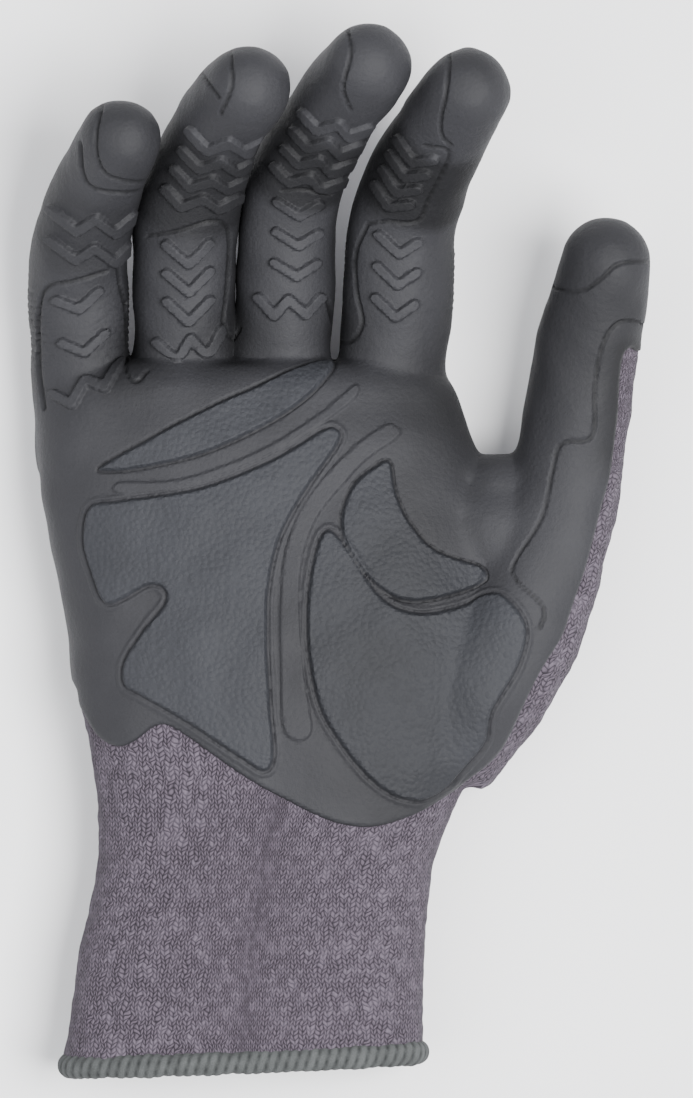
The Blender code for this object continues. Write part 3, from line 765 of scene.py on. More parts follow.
@dataclass
class Pattern:
    """Everything that is moulded into the rubber: pads, strips, ribs and grooves, with their sizes.

    Attributes:
        reach: how far from a line its distance is worked out.
        facing: the share that a surface has to face up before it takes the pattern, and takes it fully.
    """

    pad_height: float = 0.95
    pad_bevel: float = 0.5
    outline_depth: float = 0.4
    outline_width: float = 0.8
    rim_width: float = 1.8
    rim_height: float = 0.35
    strip_height: float = 0.55
    strip_bevel: float = 0.6
    rib_height: float = 1.05
    rib_bevel: float = 0.3
    rib_half: float = 1.2
    groove_depth: float = 0.65
    groove_half: float = 0.6
    reach: float = 6.0
    facing: Point = (0.03, 0.25)

    def pads(self) -> dict[str, Line]:
        """The palm's raised pads, as outlines."""
        upper = (
            (-54, 20), (-45.5, 25), (-28, 34), (-11, 41.2), (-4, 42.8), (-1.8, 42), (-8, 35.5),
            (-17, 29.5), (-31, 23.2), (-45.5, 19.8), (-53, 19.2),
        )
        centre = (
            (-56.2, 10.8), (-50, 12.2), (-32, 15), (-16, 21.2), (-5, 27.6), (-1.6, 28.4),
            (-0.8, 25.4), (-8, 15), (-14, 4), (-16.6, -8), (-16.8, -20), (-16.2, -34),
            (-15.4, -45), (-17.4, -48.6), (-22, -46), (-34, -38), (-45, -31.4), (-48.4, -29.2),
            (-48.4, -24), (-44, -16.6), (-39.4, -10.6), (-40, -7.4), (-43.4, -6.6),
            (-49.4, -10), (-52.6, -10.6), (-55, -6), (-57.6, 3),
        )
        web = (
            (10.6, 21), (7, 19.6), (2.4, 15.4), (0, 8), (1.4, 1.6), (5.4, -4.4), (12, -9.4),
            (19.5, -10), (31.4, -6.6), (33.2, -4.6), (31, -2.6), (21, 1), (15, 7.4), (12, 14),
        )
        base = (
            (-2.8, 5.6), (-5.4, 2), (-7.4, -9), (-7.4, -21), (-5, -33.5), (0, -42.5), (7, -50.8),
            (14, -54.8), (21, -53.5), (31.5, -42.6), (33.6, -35), (39.6, -25), (41.6, -16.4),
            (38.2, -10.4), (34.4, -9), (26, -11.8), (17, -13.2), (9, -9.8), (1.4, 1),
        )
        outlines = {
            "upper_palm_pad": upper,
            "centre_palm_pad": centre,
            "thumb_web_pad": web,
            "thumb_base_pad": base,
        }
        return {name: Line(outline, closed=True) for name, outline in outlines.items()}

    def strips(self) -> list[Line]:
        """The palm's narrow raised strips, as outlines."""
        upper = (
            (-50, 16.8), (-36.5, 17.4), (-19.5, 23.4), (-6, 31.4), (2.4, 38.2), (4.2, 37.4),
            (2.4, 34.4), (-7, 27.6), (-19.5, 21), (-36, 15), (-50, 13.8),
        )
        middle = (
            (9.4, 29.4), (2, 24.2), (-6, 15.6), (-11.6, 5.6), (-13.8, -6), (-14, -24), (-13, -40),
            (-6.6, -40.4), (-8.2, -27), (-9.2, -12), (-8.6, -1), (-5.4, 8.2), (0, 15.2),
            (6, 21.6), (13, 26.6), (12, 29.2),
        )
        return [Line(outline, closed=True) for outline in (upper, middle)]

    def ribs(self) -> list[Line]:
        """The chevron and zigzag ribs of the fingers."""
        index = chevrons((13.2, 68.6), (-0.4, -7.2), 3, (-4.0, 4.4, 3.8, 3.0))
        index += chevrons((17.0, 89.8), (-1.8, -3.4), 4, (-3.0, 4.4, 4.2, 0.8))
        middle = chevrons((-9.6, 77.4), (-0.4, -7.0), 3, (-4.4, 3.2, 4.0, 3.0))
        middle += zigzags(((-18.0, 58.6), (-14.8, 54.6), (-12.0, 58.4), (-8.6, 54.8), (-5.6, 58.6)))
        across = ((-7.6, 100.4), (-4.8, 97.2), (-0.4, 98.6), (1.6, 95.8), (6.2, 97.6))
        middle += zigzags(across, (-2.2, -4.0), 4)
        ring = chevrons((-34.6, 66.4), (0.0, -6.6), 3, (-4.4, 4.6, 4.2, 5.0))
        ring += zigzags(((-41.0, 48.6), (-37.0, 44.2), (-34.2, 49.6), (-30.8, 45.2), (-28.0, 51.4)))
        across = ((-33.0, 96.6), (-29.8, 92.8), (-25.2, 94.8), (-22.4, 92.4), (-18.0, 95.0))
        ring += zigzags(across, (-2.0, -4.4), 4)
        little = chevrons((-59.4, 56.0), (1.2, -9.8), 2, (-4.6, 2.2, 4.0, 4.4))
        little += zigzags(
            ((-64.4, 36.4), (-60.4, 34.0), (-57.6, 39.2), (-53.2, 37.6), (-50.2, 42.4))
        )
        across = ((-64.4, 78.4), (-59.4, 74.2), (-55.6, 77.2), (-51.8, 73.6), (-47.6, 77.6))
        little += zigzags(across, (-0.4, -6.6), 2)
        return index + middle + ring + little

    def grooves(self) -> list[Line]:
        """The fine moulded lines round the webs, the finger panels, the fingertips and the thumb."""
        webs = (
            ((-51.5, 66), (-50, 56), (-49, 44), (-48, 40), (-46, 38.8), (-43.6, 41)),
            ((-27.4, 53), (-26.4, 50), (-24, 48.8), (-22, 51.4)),
            (
                (-4, 58), (-2.4, 51.6), (0.4, 48.4), (3.4, 48.8), (5.4, 53), (4.4, 60),
                (4.2, 68), (6.8, 75.4),
            ),
        )
        panels = (
            ((-66.6, 33), (-67.6, 45), (-67.4, 57), (-65.6, 61.4), (-60, 62.8), (-53.6, 65)),
            (
                (-43.4, 72.6), (-37, 74), (-30.4, 76.2), (-27.2, 75.6), (-26.2, 72),
                (-26.8, 60), (-27.4, 53),
            ),
            ((-13, 83.2), (-8, 83.6), (-3, 82.6)),
            (
                (6.8, 75.4), (11, 76.2), (17, 76.4), (20, 82), (24.2, 90.6), (23.8, 93),
                (19.4, 93.4),
            ),
        )
        tips = (
            ((24.4, 116), (25, 111.4), (24, 104.4), (23, 99.6), (23.2, 95.8), (25, 93.8)),
            ((1, 121.6), (2.6, 114.4), (1, 106.6), (2.2, 101.6)),
            ((-25, 116.6), (-24.4, 111), (-24.6, 105.4), (-26.8, 100.6)),
            ((-31.4, 112.4), (-30.4, 108.6), (-27, 104)),
            ((-53.4, 101.6), (-54.8, 95), (-54.6, 90.4), (-52.4, 86.8), (-47, 85.4), (-43, 85.8)),
            ((-58, 93.4), (-57.8, 87), (-55.8, 84), (-50, 83.2), (-44.4, 83.4)),
        )
        thumb = (
            ((46.4, 61.8), (51.4, 60), (55.4, 60.4), (59, 63), (62.4, 66), (68, 66.6), (72, 64.8)),
            (
                (70, 50.6), (65.4, 53.6), (61.4, 52.4), (58.8, 47.4), (57.4, 39), (57, 29),
                (55.4, 26.2), (51.6, 26), (49.4, 24.2), (48, 18.4), (45.6, 8.4), (40.2, -0.4),
                (39, -3.8), (40.8, -6.8), (44.8, -10.4), (45.8, -13.4), (44.6, -16.4),
            ),
        )
        return [Line(points) for points in webs + panels + tips + thumb]

    def edge(self) -> Line:
        """The rubber's edge against the knit: low on the palm, and up the outside of the thumb."""
        low = (
            (-62, -27), (-58.4, -34.4), (-54.6, -41), (-50.4, -43.2), (-46.4, -41.8),
            (-41.6, -38.4), (-36.6, -39.8), (-22, -50), (-12, -55.6), (-2, -60.2), (7, -61.4),
            (16, -58.8), (26, -52.6), (36, -43.8),
        )
        thumb = (
            (43.6, -28.6), (50.8, -15.6), (56.2, 1.6), (60.2, 17), (62.4, 31), (63.2, 43.6),
            (64.8, 47), (68, 45.8),
        )
        clear = (
            (78, 43), (92, 70), (70, 135), (0, 145), (-80, 130), (-96, 40), (-84, -16),
        )
        return Line(low + thumb + clear, closed=True)

    def measure(self, skin: Skin, normals: np.ndarray) -> None:
        """Measures how deep each of the skin's points lies in every part of the pattern.

        Args:
            skin: the skin, which takes the values.
            normals: the skin's normals. What faces away from the eye takes no pattern.
        """
        plan = EYE.plan(skin.points)
        least, full = self.facing
        facing = normals[:, 2] > least
        pads = self.pads()
        depths = [depth_inside(plan, line, self.reach) for line in pads.values()]
        strips = [depth_inside(plan, line, self.reach) for line in self.strips()]
        gaps = [distance_to(plan, line.path(), self.reach) for line in self.ribs()]
        lines = [distance_to(plan, line.path(), self.reach) for line in self.grooves()]
        skin.values["pad"] = np.max(depths, 0)
        _, centre, _, base = depths
        skin.values["rim"] = np.maximum(centre, base) + self.rim_width
        skin.values["strip"] = np.max(strips, 0)
        skin.values["rib"] = self.rib_half - np.min(gaps, 0)
        skin.values["groove"] = self.groove_half - np.min(lines, 0)
        for key in ("pad", "rim", "strip", "rib", "groove"):
            skin.values[key][~facing] = -FAR
        skin.values["facing"] = ease(normals[:, 2], least, full)
        for name, depth in zip(pads, depths):
            skin.values[name] = np.where(facing, depth, -FAR)

    def cut(self, skin: Skin) -> None:
        """Cuts real edges into the skin along the foot and the top of everything moulded."""
        levels = {
            "pad": (-self.outline_width, -self.outline_width / 2.0, 0.0, self.pad_bevel),
            "rim": (0.0, self.strip_bevel),
            "strip": (0.0, self.strip_bevel),
            "rib": (0.0, self.rib_bevel),
            "groove": (0.0, self.groove_half),
        }
        for name, steps in levels.items():
            for level in steps:
                skin.cut(name, level)

    def height(self, skin: Skin) -> np.ndarray:
        """How far the moulded pattern stands up from the rubber at each point."""
        values = skin.values
        up = self.pad_height * ease(values["pad"], 0.0, self.pad_bevel)
        up += self.rim_height * ease(values["rim"], 0.0, self.strip_bevel)
        strip = self.strip_height * ease(values["strip"], 0.0, self.strip_bevel)
        up = np.maximum(up, strip)
        up += self.rib_height * ease(values["rib"], 0.0, self.rib_bevel)
        middle = np.abs(values["pad"] + self.outline_width / 2.0)
        up -= self.outline_depth * (1.0 - ease(middle, 0.0, self.outline_width / 2.0))
        up -= self.groove_depth * ease(values["groove"], 0.0, self.groove_half)
        return up * values["facing"]


# ---------------------------------------------------------------------------------------------
# Finishes
# ---------------------------------------------------------------------------------------------


def linear(colour: tuple[float, float, float]) -> tuple[float, float, float, float]:
    """A colour given in display values from 0 to 255, as a shader takes it."""
    shares = [value / 255.0 for value in colour]
    return (*[s / 12.92 if s <= 0.04045 else ((s + 0.055) / 1.055) ** 2.4 for s in shares], 1.0)


@dataclass
class Graph:
    """A material's node tree, with short ways to add the nodes that the finishes need."""

    name: str

    def __post_init__(self) -> None:
        """Starts the material with its shader."""
        self.material = bpy.data.materials.new(self.name)
        self.material.use_nodes = True
        self.tree = self.material.node_tree
        self.shader = self.tree.nodes["Principled BSDF"]

    def node(self, kind: str, inputs: dict | None = None, **settings):
        """Adds a node.

        Args:
            kind: the node's type.
            inputs: a value or an output socket for each input, by its name or its number.
            settings: the node's own settings.

        Returns:
            The node.
        """
        made = self.tree.nodes.new(kind)
        for key, value in settings.items():
            setattr(made, key, value)
        for key, value in (inputs or {}).items():
            if isinstance(value, bpy.types.NodeSocket):
                self.tree.links.new(value, made.inputs[key])
            else:
                made.inputs[key].default_value = value
        return made

    def math(self, operation: str, *values):
        """The output of a math node over these values or sockets."""
        return self.node("ShaderNodeMath", dict(enumerate(values)), operation=operation).outputs[0]

    def noise(self, coordinates, scale: float, detail: float = 2.0, roughness: float = 0.5):
        """The output of a noise texture."""
        inputs = {"Vector": coordinates, "Scale": scale, "Detail": detail, "Roughness": roughness}
        return self.node("ShaderNodeTexNoise", inputs).outputs[0]

    def span(self, value, low: float, high: float, to_low: float = 0.0, to_high: float = 1.0):
        """Maps a value from one range to another and holds it there."""
        inputs = {0: value, 1: low, 2: high, 3: to_low, 4: to_high}
        return self.node("ShaderNodeMapRange", inputs, clamp=True).outputs[0]

    def blend(self, share, low, high):
        """A colour between two colours."""
        inputs = {0: share, 6: low, 7: high}
        return self.node("ShaderNodeMix", inputs, data_type="RGBA").outputs[2]

    def toned(self, colour, *tones):
        """A colour made lighter or darker by each of these factors in turn."""
        tone = tones[0]
        for other in tones[1:]:
            tone = self.math("MULTIPLY", tone, other)
        inputs = {0: colour, "Scale": tone}
        return self.node("ShaderNodeVectorMath", inputs, operation="SCALE").outputs[0]

    def attribute(self, name: str):
        """The output of one of the mesh's own values."""
        return self.node("ShaderNodeAttribute", attribute_name=name).outputs["Fac"]

    def bump(self, height, distance: float, before=None):
        """A bump of this height in metres, over one that came before."""
        inputs = {"Height": height, "Distance": distance}
        if before is not None:
            inputs["Normal"] = before
        return self.node("ShaderNodeBump", inputs).outputs[0]

    def finish(self, colour, roughness, normal) -> bpy.types.Material:
        """Wires the shader and returns the material."""
        self.tree.links.new(colour, self.shader.inputs["Base Color"])
        if isinstance(roughness, bpy.types.NodeSocket):
            self.tree.links.new(roughness, self.shader.inputs["Roughness"])
        else:
            self.shader.inputs["Roughness"].default_value = roughness
        self.tree.links.new(normal, self.shader.inputs["Normal"])
        self.shader.inputs["Specular IOR Level"].default_value = 0.22
        return self.material


@dataclass(frozen=True)
class RubberFinish:
    """Dipped foam rubber: matt, faintly speckled, with tiny pits. The tops of its ribs, pads and strips
    are painted a little lighter as a painted highlight, and its grooves darker as painted shade.
    """

    name: str
    colour: tuple[float, float, float]
    # raised: a lighter copy of the colour for the pattern's raised tops, a painted highlight.
    raised: tuple[float, float, float]
    pebble: float
    roughness: float = 0.62
    speckle: float = 0.16
    pit: float = 0.09

    def make(self) -> bpy.types.Material:
        """Builds the material."""
        graph = Graph(self.name)
        place = graph.node("ShaderNodeTexCoord").outputs["Object"]
        relief = graph.attribute("relief")
        fine = graph.noise(place, 2600.0, 3.0, 0.6)
        cloud = graph.noise(place, 90.0, 3.0, 0.5)
        # Painted highlight: the pattern's raised tops take the lighter raised colour.
        up = graph.span(relief, 0.1, 0.9)
        colour = graph.blend(up, linear(self.colour), linear(self.raised))
        speckle = graph.span(fine, 0.3, 0.7, 1.0 - self.speckle, 1.0 + self.speckle)
        drift = graph.span(cloud, 0.3, 0.7, 0.93, 1.07)
        # Painted shade: grooves and pad outlines, where the relief is below 0, are painted darker.
        low = graph.span(relief, -0.5, 0.0, 0.55, 1.0)
        # Painted shade: the mesh's shade value darkens the rubber where shade falls on it.
        plain = graph.math("SUBTRACT", 1.0, graph.attribute("shade"))
        colour = graph.toned(colour, speckle, drift, low, plain)
        pits = graph.bump(fine, self.pit * MM)
        inputs = {"Vector": place, "Scale": 850.0}
        cells = graph.node("ShaderNodeTexVoronoi", inputs, feature="F1").outputs[0]
        pebbles = graph.bump(graph.span(cells, 0.0, 0.75, 1.0, 0.0), self.pebble * MM, pits)
        gloss = graph.span(fine, 0.3, 0.7, self.roughness - 0.06, self.roughness + 0.08)
        return graph.finish(colour, gloss, pebbles)


@dataclass(frozen=True)
class KnitFinish:
    """Plain knit of melange yarn. The map's first value counts wales and its second counts courses."""

    name: str
    yarn: tuple[float, float, float]
    shadow: tuple[float, float, float]
    light: tuple[float, float, float]
    relief: float = 0.34
    slant: float = 0.85

    def make(self) -> bpy.types.Material:
        """Builds the material."""
        graph = Graph(self.name)
        place = graph.node("ShaderNodeTexCoord").outputs["Object"]
        stitch = graph.node("ShaderNodeUVMap", uv_map="knit").outputs[0]
        split = graph.node("ShaderNodeSeparateXYZ", {0: stitch})
        wale, course = split.outputs[0], split.outputs[1]
        wander = graph.noise(place, 320.0, 1.0)
        wale = graph.math("ADD", wale, graph.span(wander, 0.3, 0.7, -0.3, 0.3))
        leg = graph.math("ABSOLUTE", graph.math("SUBTRACT", graph.math("FRACT", wale), 0.5))
        leg = graph.math("MULTIPLY", leg, 2.0)
        row = graph.math("SUBTRACT", course, graph.math("MULTIPLY", leg, self.slant))
        along = graph.math("SINE", graph.math("MULTIPLY", graph.math("FRACT", row), math.pi))
        centred = graph.math("SUBTRACT", graph.math("MULTIPLY", leg, 2.0), 1.0)
        square = graph.math("MULTIPLY", centred, centred)
        across = graph.math("SUBTRACT", 1.0, graph.math("MULTIPLY", square, 0.85))
        height = graph.math("MULTIPLY", graph.math("POWER", along, 0.6), across)
        corner = {0: graph.math("FLOOR", wale), 1: graph.math("FLOOR", row)}
        cell = {0: graph.node("ShaderNodeCombineXYZ", corner).outputs[0]}
        own = graph.node("ShaderNodeTexWhiteNoise", cell, noise_dimensions="2D").outputs[0]
        fibre = graph.noise(place, 3800.0, 3.0, 0.7)
        patch = graph.noise(place, 130.0, 3.0, 0.6)
        colour = graph.blend(graph.span(height, 0.1, 0.75), linear(self.shadow), linear(self.yarn))
        colour = graph.blend(graph.span(own, 0.5, 1.0, 0.0, 0.5), colour, linear(self.light))
        hairs = graph.span(fibre, 0.3, 0.7, 0.8, 1.2)
        drift = graph.span(patch, 0.3, 0.7, 0.93, 1.07)
        colour = graph.toned(colour, hairs, drift, graph.span(own, 0.0, 0.5, 0.86, 1.0))
        loops = graph.bump(height, self.relief * MM)
        fuzz = graph.bump(fibre, 0.12 * MM, loops)
        return graph.finish(colour, 0.92, fuzz)


@dataclass(frozen=True)
class YarnFinish:
    """Overlock yarn: fine twisted threads that run round the hem."""

    name: str
    colour: tuple[float, float, float]
    shadow: tuple[float, float, float]

    def make(self) -> bpy.types.Material:
        """Builds the material."""
        graph = Graph(self.name)
        place = graph.node("ShaderNodeTexCoord").outputs["Object"]
        crown = graph.span(graph.attribute("relief"), 0.05, 0.8)
        fibre = graph.noise(place, 3600.0, 3.0, 0.7)
        patch = graph.noise(place, 260.0, 2.0)
        colour = graph.blend(crown, linear(self.shadow), linear(self.colour))
        colour = graph.toned(colour, *(graph.span(each, 0.3, 0.7, 0.8, 1.2) for each in (fibre, patch)))
        return graph.finish(colour, 0.9, graph.bump(fibre, 0.15 * MM))


@dataclass
class Finishes:
    """Every finish of the glove, built once."""

    # Each rubber's second colour is a painted highlight for the raised tops of its pattern.
    rubber: RubberFinish = RubberFinish("grip_rubber", (41, 41, 44), (44, 44, 47), 0.05)
    pad: RubberFinish = RubberFinish("pad_rubber", (40, 41, 45), (42, 43, 47), 0.14)
    knit: KnitFinish = KnitFinish("liner_knit", (86, 78, 88), (35, 31, 37), (100, 92, 103))
    lining: KnitFinish = KnitFinish("liner_inside", (84, 79, 86), (42, 39, 43), (94, 90, 97), 0.2)
    hem: YarnFinish = YarnFinish("hem_yarn", (72, 74, 74), (38, 40, 40))

    def build(self) -> dict[str, bpy.types.Material]:
        """The materials by their use."""
        uses = ("rubber", "pad", "knit", "lining", "hem")
        return {use: getattr(self, use).make() for use in uses}


# ---------------------------------------------------------------------------------------------
# The glove, divided into the pieces that bend
# ---------------------------------------------------------------------------------------------


@dataclass(frozen=True)
class Span:
    """A stretch of a digit that bends about one joint, from one piece plane to the next.

    Attributes:
        name: what its two pieces' names start with.
        bodies: the bodies on the two sides of the joint.
        rubber_nodes: the CAD nodes that its rubber stands for.
        knit_nodes: the CAD nodes that its knit stands for.
    """

    name: str
    bodies: tuple[str, str]
    rubber_nodes: tuple[str, ...]
    knit_nodes: tuple[str, ...]


@dataclass
class Piece:
    """One visible object: its faces on the glove's skin and how it moves.

    Attributes:
        name: the object's name.
        faces: which of the skin's faces are in it.
        layer: what it is made of.
        nodes: the CAD nodes that it stands for.
        bodies: the body it rides, or the two bodies on either side of its joint.
        ends: two points a little before and past its joint, when there are two bodies.
    """

    name: str
    faces: np.ndarray
    layer: Layer
    nodes: tuple[str, ...]
    bodies: tuple[str, ...]
    ends: tuple[np.ndarray, np.ndarray] | None = None


@dataclass
class Shell:
    """The glove's wall: knit everywhere, with rubber dipped over the palm side.

    Attributes:
        rubber_height, lip: how thick the rubber is, and over what length its edge rounds up to that.
        wall: how far the lining lies inside the form.
        palm_edge_height: how low the rubber reaches round the palm's edges.
        edge_reach: how far from the rubber's edge its distance is worked out.
        wrap: how far below a digit's middle its rubber reaches, as a share of its half width.
        cap_from: how far past the last joint the rubber covers a digit all round.
        root_before: how far before its first joint a digit's first piece starts.
        root_blend: how far before and past that plane the palm's edge turns into the digit's.
        digit_reach: how far from a digit's limb a face may still belong to it.
        bend_reach: how far to either side of a joint a piece's ends lie.
        wrist_y, wrist_z: where the cuff's piece starts, and the height of the wrist.
        wrist_bend: where along y the cuff's piece has its two ends.
        opening, opening_span: the cuff's end at its thumb side and how much lower the other side
            lies, and the width that this lean is spread over.
        pattern_rise: where past the rubber's edge the pattern starts, and has its full height.
        bare_rise: where before and past the rubber's edge the knit's creases end.
        swell, crease: height and fineness of the skin's soft unevenness and of the knit's creases.
        low_outside, low_inside: the lowest that the skin and the lining lie over the floor.
        course, digit_wale: the length of a stitch, and its width on a digit.
        girth_y: where on the cuff the wales' places round the glove are measured.
        section_samples, ring_samples: how closely the sections, and one of them, are measured.
        flex_shade: how dark each digit's rubber is painted between its last two joints, as painted
            shade.
        flank_shade: how dark the fingers' sides are painted, as painted shade between neighbouring
            fingers.
        flank_from, flank_rise: where before the first joint that starts and is full, and the shares
            of a digit's half width between which it ends.
        shade_fade: the length that these take to start and to end.
        soft_shade: round patches of painted shade, each as x, y, reach and depth.
    """

    digits: list[Digit]
    pattern: Pattern
    form: Form
    rubber_height: float = 1.1
    lip: float = 1.0
    wall: float = 1.2
    palm_edge_height: float = 9.0
    edge_reach: float = 8.0
    wrap: float = 0.45
    cap_from: float = 5.5
    root_before: float = 9.0
    root_blend: Point = (14.0, 4.0)
    digit_reach: float = 9.0
    bend_reach: float = 6.8
    wrist_y: float = -62.0
    wrist_bend: Point = (-63.0, -77.0)
    wrist_z: float = 17.0
    opening: Point = (-109.6, 3.2)
    opening_span: float = 80.0
    pattern_rise: Point = (0.4, 1.6)
    bare_rise: Point = (-2.0, 1.0)
    swell: Point = (0.5, 0.11)
    crease: Point = (0.35, 0.35)
    low_outside: float = 0.15
    low_inside: float = 0.6
    course: float = 1.05
    digit_wale: float = 1.62
    girth_y: float = -80.0
    section_samples: int = 60
    ring_samples: int = 721
    # Painted shade: how much darker the rubber is painted where shade falls on it.
    flex_shade: tuple[float, ...] = (0.62, 0.55, 0.5, 0.25, 0.0)
    flank_shade: float = 0.5
    flank_from: Point = (14.0, 3.0)
    flank_rise: Point = (0.1, 0.75)
    shade_fade: float = 6.0
    # Round patches of painted shade over the web, the thumb, the fingertips and the crotches.
    soft_shade: tuple[tuple[float, ...], ...] = (
        (26.0, 34.0, 26.0, 0.6),
        (58.0, 52.0, 42.0, 0.35),
        (8.0, -24.0, 42.0, 0.4),
        (15.0, 4.0, 24.0, 0.3),
        (12.0, -54.0, 26.0, 0.3),
        (33.0, 112.0, 20.0, 0.2),
        (-49.0, 95.0, 18.0, 0.2),
        (-48.0, 42.0, 14.0, 0.5),
        (-24.0, 49.0, 14.0, 0.55),
        (1.0, 50.0, 12.0, 0.5),
    )

    def build(self) -> None:
        """Makes the skin, measures it, cuts it, and raises the pattern from it."""
        self.skin = self.form.build(self.digits)
        LOG.info("form: %d points, %d faces", len(self.skin.points), len(self.skin.faces))
        self.measure()
        self.cut()
        self.raise_pattern()
        LOG.info("skin: %d points, %d faces", len(self.skin.points), len(self.skin.faces))

    def joint_run(self, digit: Digit, index: int) -> float:
        """How far along the digit's spine one of its joints is."""
        gap = np.linalg.norm(digit.spine - digit.joint_at[index], axis=1)
        return float(digit.run[np.argmin(gap)])

    def nearest(self) -> np.ndarray:
        """Which digit each of the skin's points is nearest to."""
        outs = [self.skin.values[f"out{k}"] for k in range(len(self.digits))]
        return np.stack(outs).argmin(0)

    def end_at(self, x: np.ndarray) -> np.ndarray:
        """How far down the cuff reaches at x."""
        high, drop = self.opening
        return high + drop * (x - self.form.section(high)[1]) / self.opening_span

    def measure(self) -> None:
        """Measures the skin's points against the digits, the rubber's edge and the pattern."""
        skin = self.skin
        values = skin.values
        values["normal"] = skin.normals(skin.points, skin.faces)
        values["y"] = skin.points[:, 1].copy()
        values["open"] = skin.points[:, 1] - self.end_at(skin.points[:, 0])
        side = skin.points[:, 2] - self.palm_edge_height
        shares = []
        for k, digit in enumerate(self.digits):
            run, out = digit.place(skin.points, False)
            turn, share = digit.around(skin.points, run)
            values[f"out{k}"], values[f"run{k}"], values[f"turn{k}"] = out, run, turn
            shares.append(share)
        nearest = self.nearest()
        before, past = self.root_blend
        for k, digit in enumerate(self.digits):
            run = values[f"run{k}"]
            own = (shares[k] + self.wrap) * np.interp(run, digit.run, digit.width)
            cap = run - self.joint_run(digit, -1) - self.cap_from
            own = np.maximum(own, cap)
            root = self.joint_run(digit, 0) - self.root_before
            weight = ease(run, root - before, root + past) * (nearest == k)
            side = side * (1.0 - weight) + own * weight
        plan = EYE.plan(skin.points)
        edge = depth_inside(plan, self.pattern.edge(), self.edge_reach)
        values["rubber"] = np.minimum(edge, side)
        self.pattern.measure(skin, values["normal"])

    def cut(self) -> None:
        """Cuts the skin at the piece planes, at the opening, and along the pattern."""
        skin = self.skin
        skin.cut("open")
        skin.faces = skin.faces[skin.of_faces("open") > 0.0]
        skin.values["y"] -= self.wrist_y
        skin.cut("y")
        for level in (0.0, 0.3 * self.lip, self.lip):
            skin.cut("rubber", level)
        self.pattern.cut(skin)
        for k, digit in enumerate(self.digits):
            for start in self.starts(digit):
                far = skin.values[f"out{k}"] > self.digit_reach
                skin.values["plane"] = np.where(far, -FAR, skin.values[f"run{k}"] - start)
                skin.cut("plane")

    def starts(self, digit: Digit) -> list[float]:
        """The piece planes' places along a digit."""
        runs = [self.joint_run(digit, j) for j in range(len(digit.joint_at))]
        return [runs[0] - self.root_before] + [(a + b) / 2.0 for a, b in zip(runs[:-1], runs[1:])]

    def raise_pattern(self) -> None:
        """Raises the rubber and its pattern, and gives the knit its soft unevenness."""
        skin = self.skin
        values = skin.values
        normal = unit(values["normal"])
        into = np.clip(values["rubber"] / self.lip, 0.0, 1.0)
        lip = self.rubber_height * np.sqrt(1.0 - (1.0 - into) ** 2)
        relief = self.pattern.height(skin) * ease(values["rubber"], *self.pattern_rise)
        swell = self.uneven(*self.swell, (0.0, 0.0, 0.0))
        bare = 1.0 - ease(values["rubber"], *self.bare_rise)
        height = lip + relief + swell + bare * self.uneven(*self.crease, (7.0, 3.0, 1.0))
        values["relief"] = relief
        # Painted shade that the rubber's colour takes where shade falls on it.
        values["shade"] = self.shade()
        self.outer = skin.points + normal * height[:, None]
        self.inner = skin.points - normal * self.wall
        self.outer[:, 2] = np.maximum(self.outer[:, 2], self.low_outside)
        self.inner[:, 2] = np.maximum(self.inner[:, 2], self.low_inside)

    def uneven(self, height: float, fineness: float, shift: tuple[float, ...]) -> np.ndarray:
        """A soft unevenness over the skin.

        Args:
            height: how far it goes up and down.
            fineness: how closely it varies.
            shift: moves it, so that two of them differ.

        Returns:
            The height at each of the skin's points.
        """
        away = Vector(shift)
        found = [noise.noise(Vector(point) * fineness + away) for point in self.skin.points]
        return np.array(found) * height

    def shade(self) -> np.ndarray:
        """How much darker the rubber is painted where shade falls on it, as painted shade: between a
        digit's last two joints, on the fingers' sides and in round patches. 0 is plain, 1 is black.
        """
        values = self.skin.values
        dark = np.zeros(len(self.skin.points))
        nearest = self.nearest()
        # Painted shade between the last two joints and on the fingers' sides.
        for k, (digit, depth) in enumerate(zip(self.digits, self.flex_shade)):
            runs = [self.joint_run(digit, j) for j in range(len(digit.joint_at))]
            run = values[f"run{k}"]
            first, last = runs[-2] - 1.0, runs[-1] + 1.0
            before_tip = 1.0 - ease(run, last, last + self.shade_fade)
            flexed = ease(run, first, first + self.shade_fade) * before_tip
            _, share = digit.around(self.skin.points, run)
            start, full = (runs[0] - before for before in self.flank_from)
            sheltered = ease(run, start, full) * before_tip
            sheltered *= 1.0 - ease(share, *self.flank_rise)
            own = np.maximum(flexed * depth, sheltered * self.flank_shade)
            dark = np.where(nearest == k, own, dark)
        plan = EYE.plan(self.skin.points)
        # Round patches of painted shade.
        for x, y, reach, depth in self.soft_shade:
            gap = np.hypot(plan[:, 0] - x, plan[:, 1] - y)
            dark = 1.0 - (1.0 - dark) * (1.0 - depth * (1.0 - ease(gap, 0.0, reach)))
        return dark

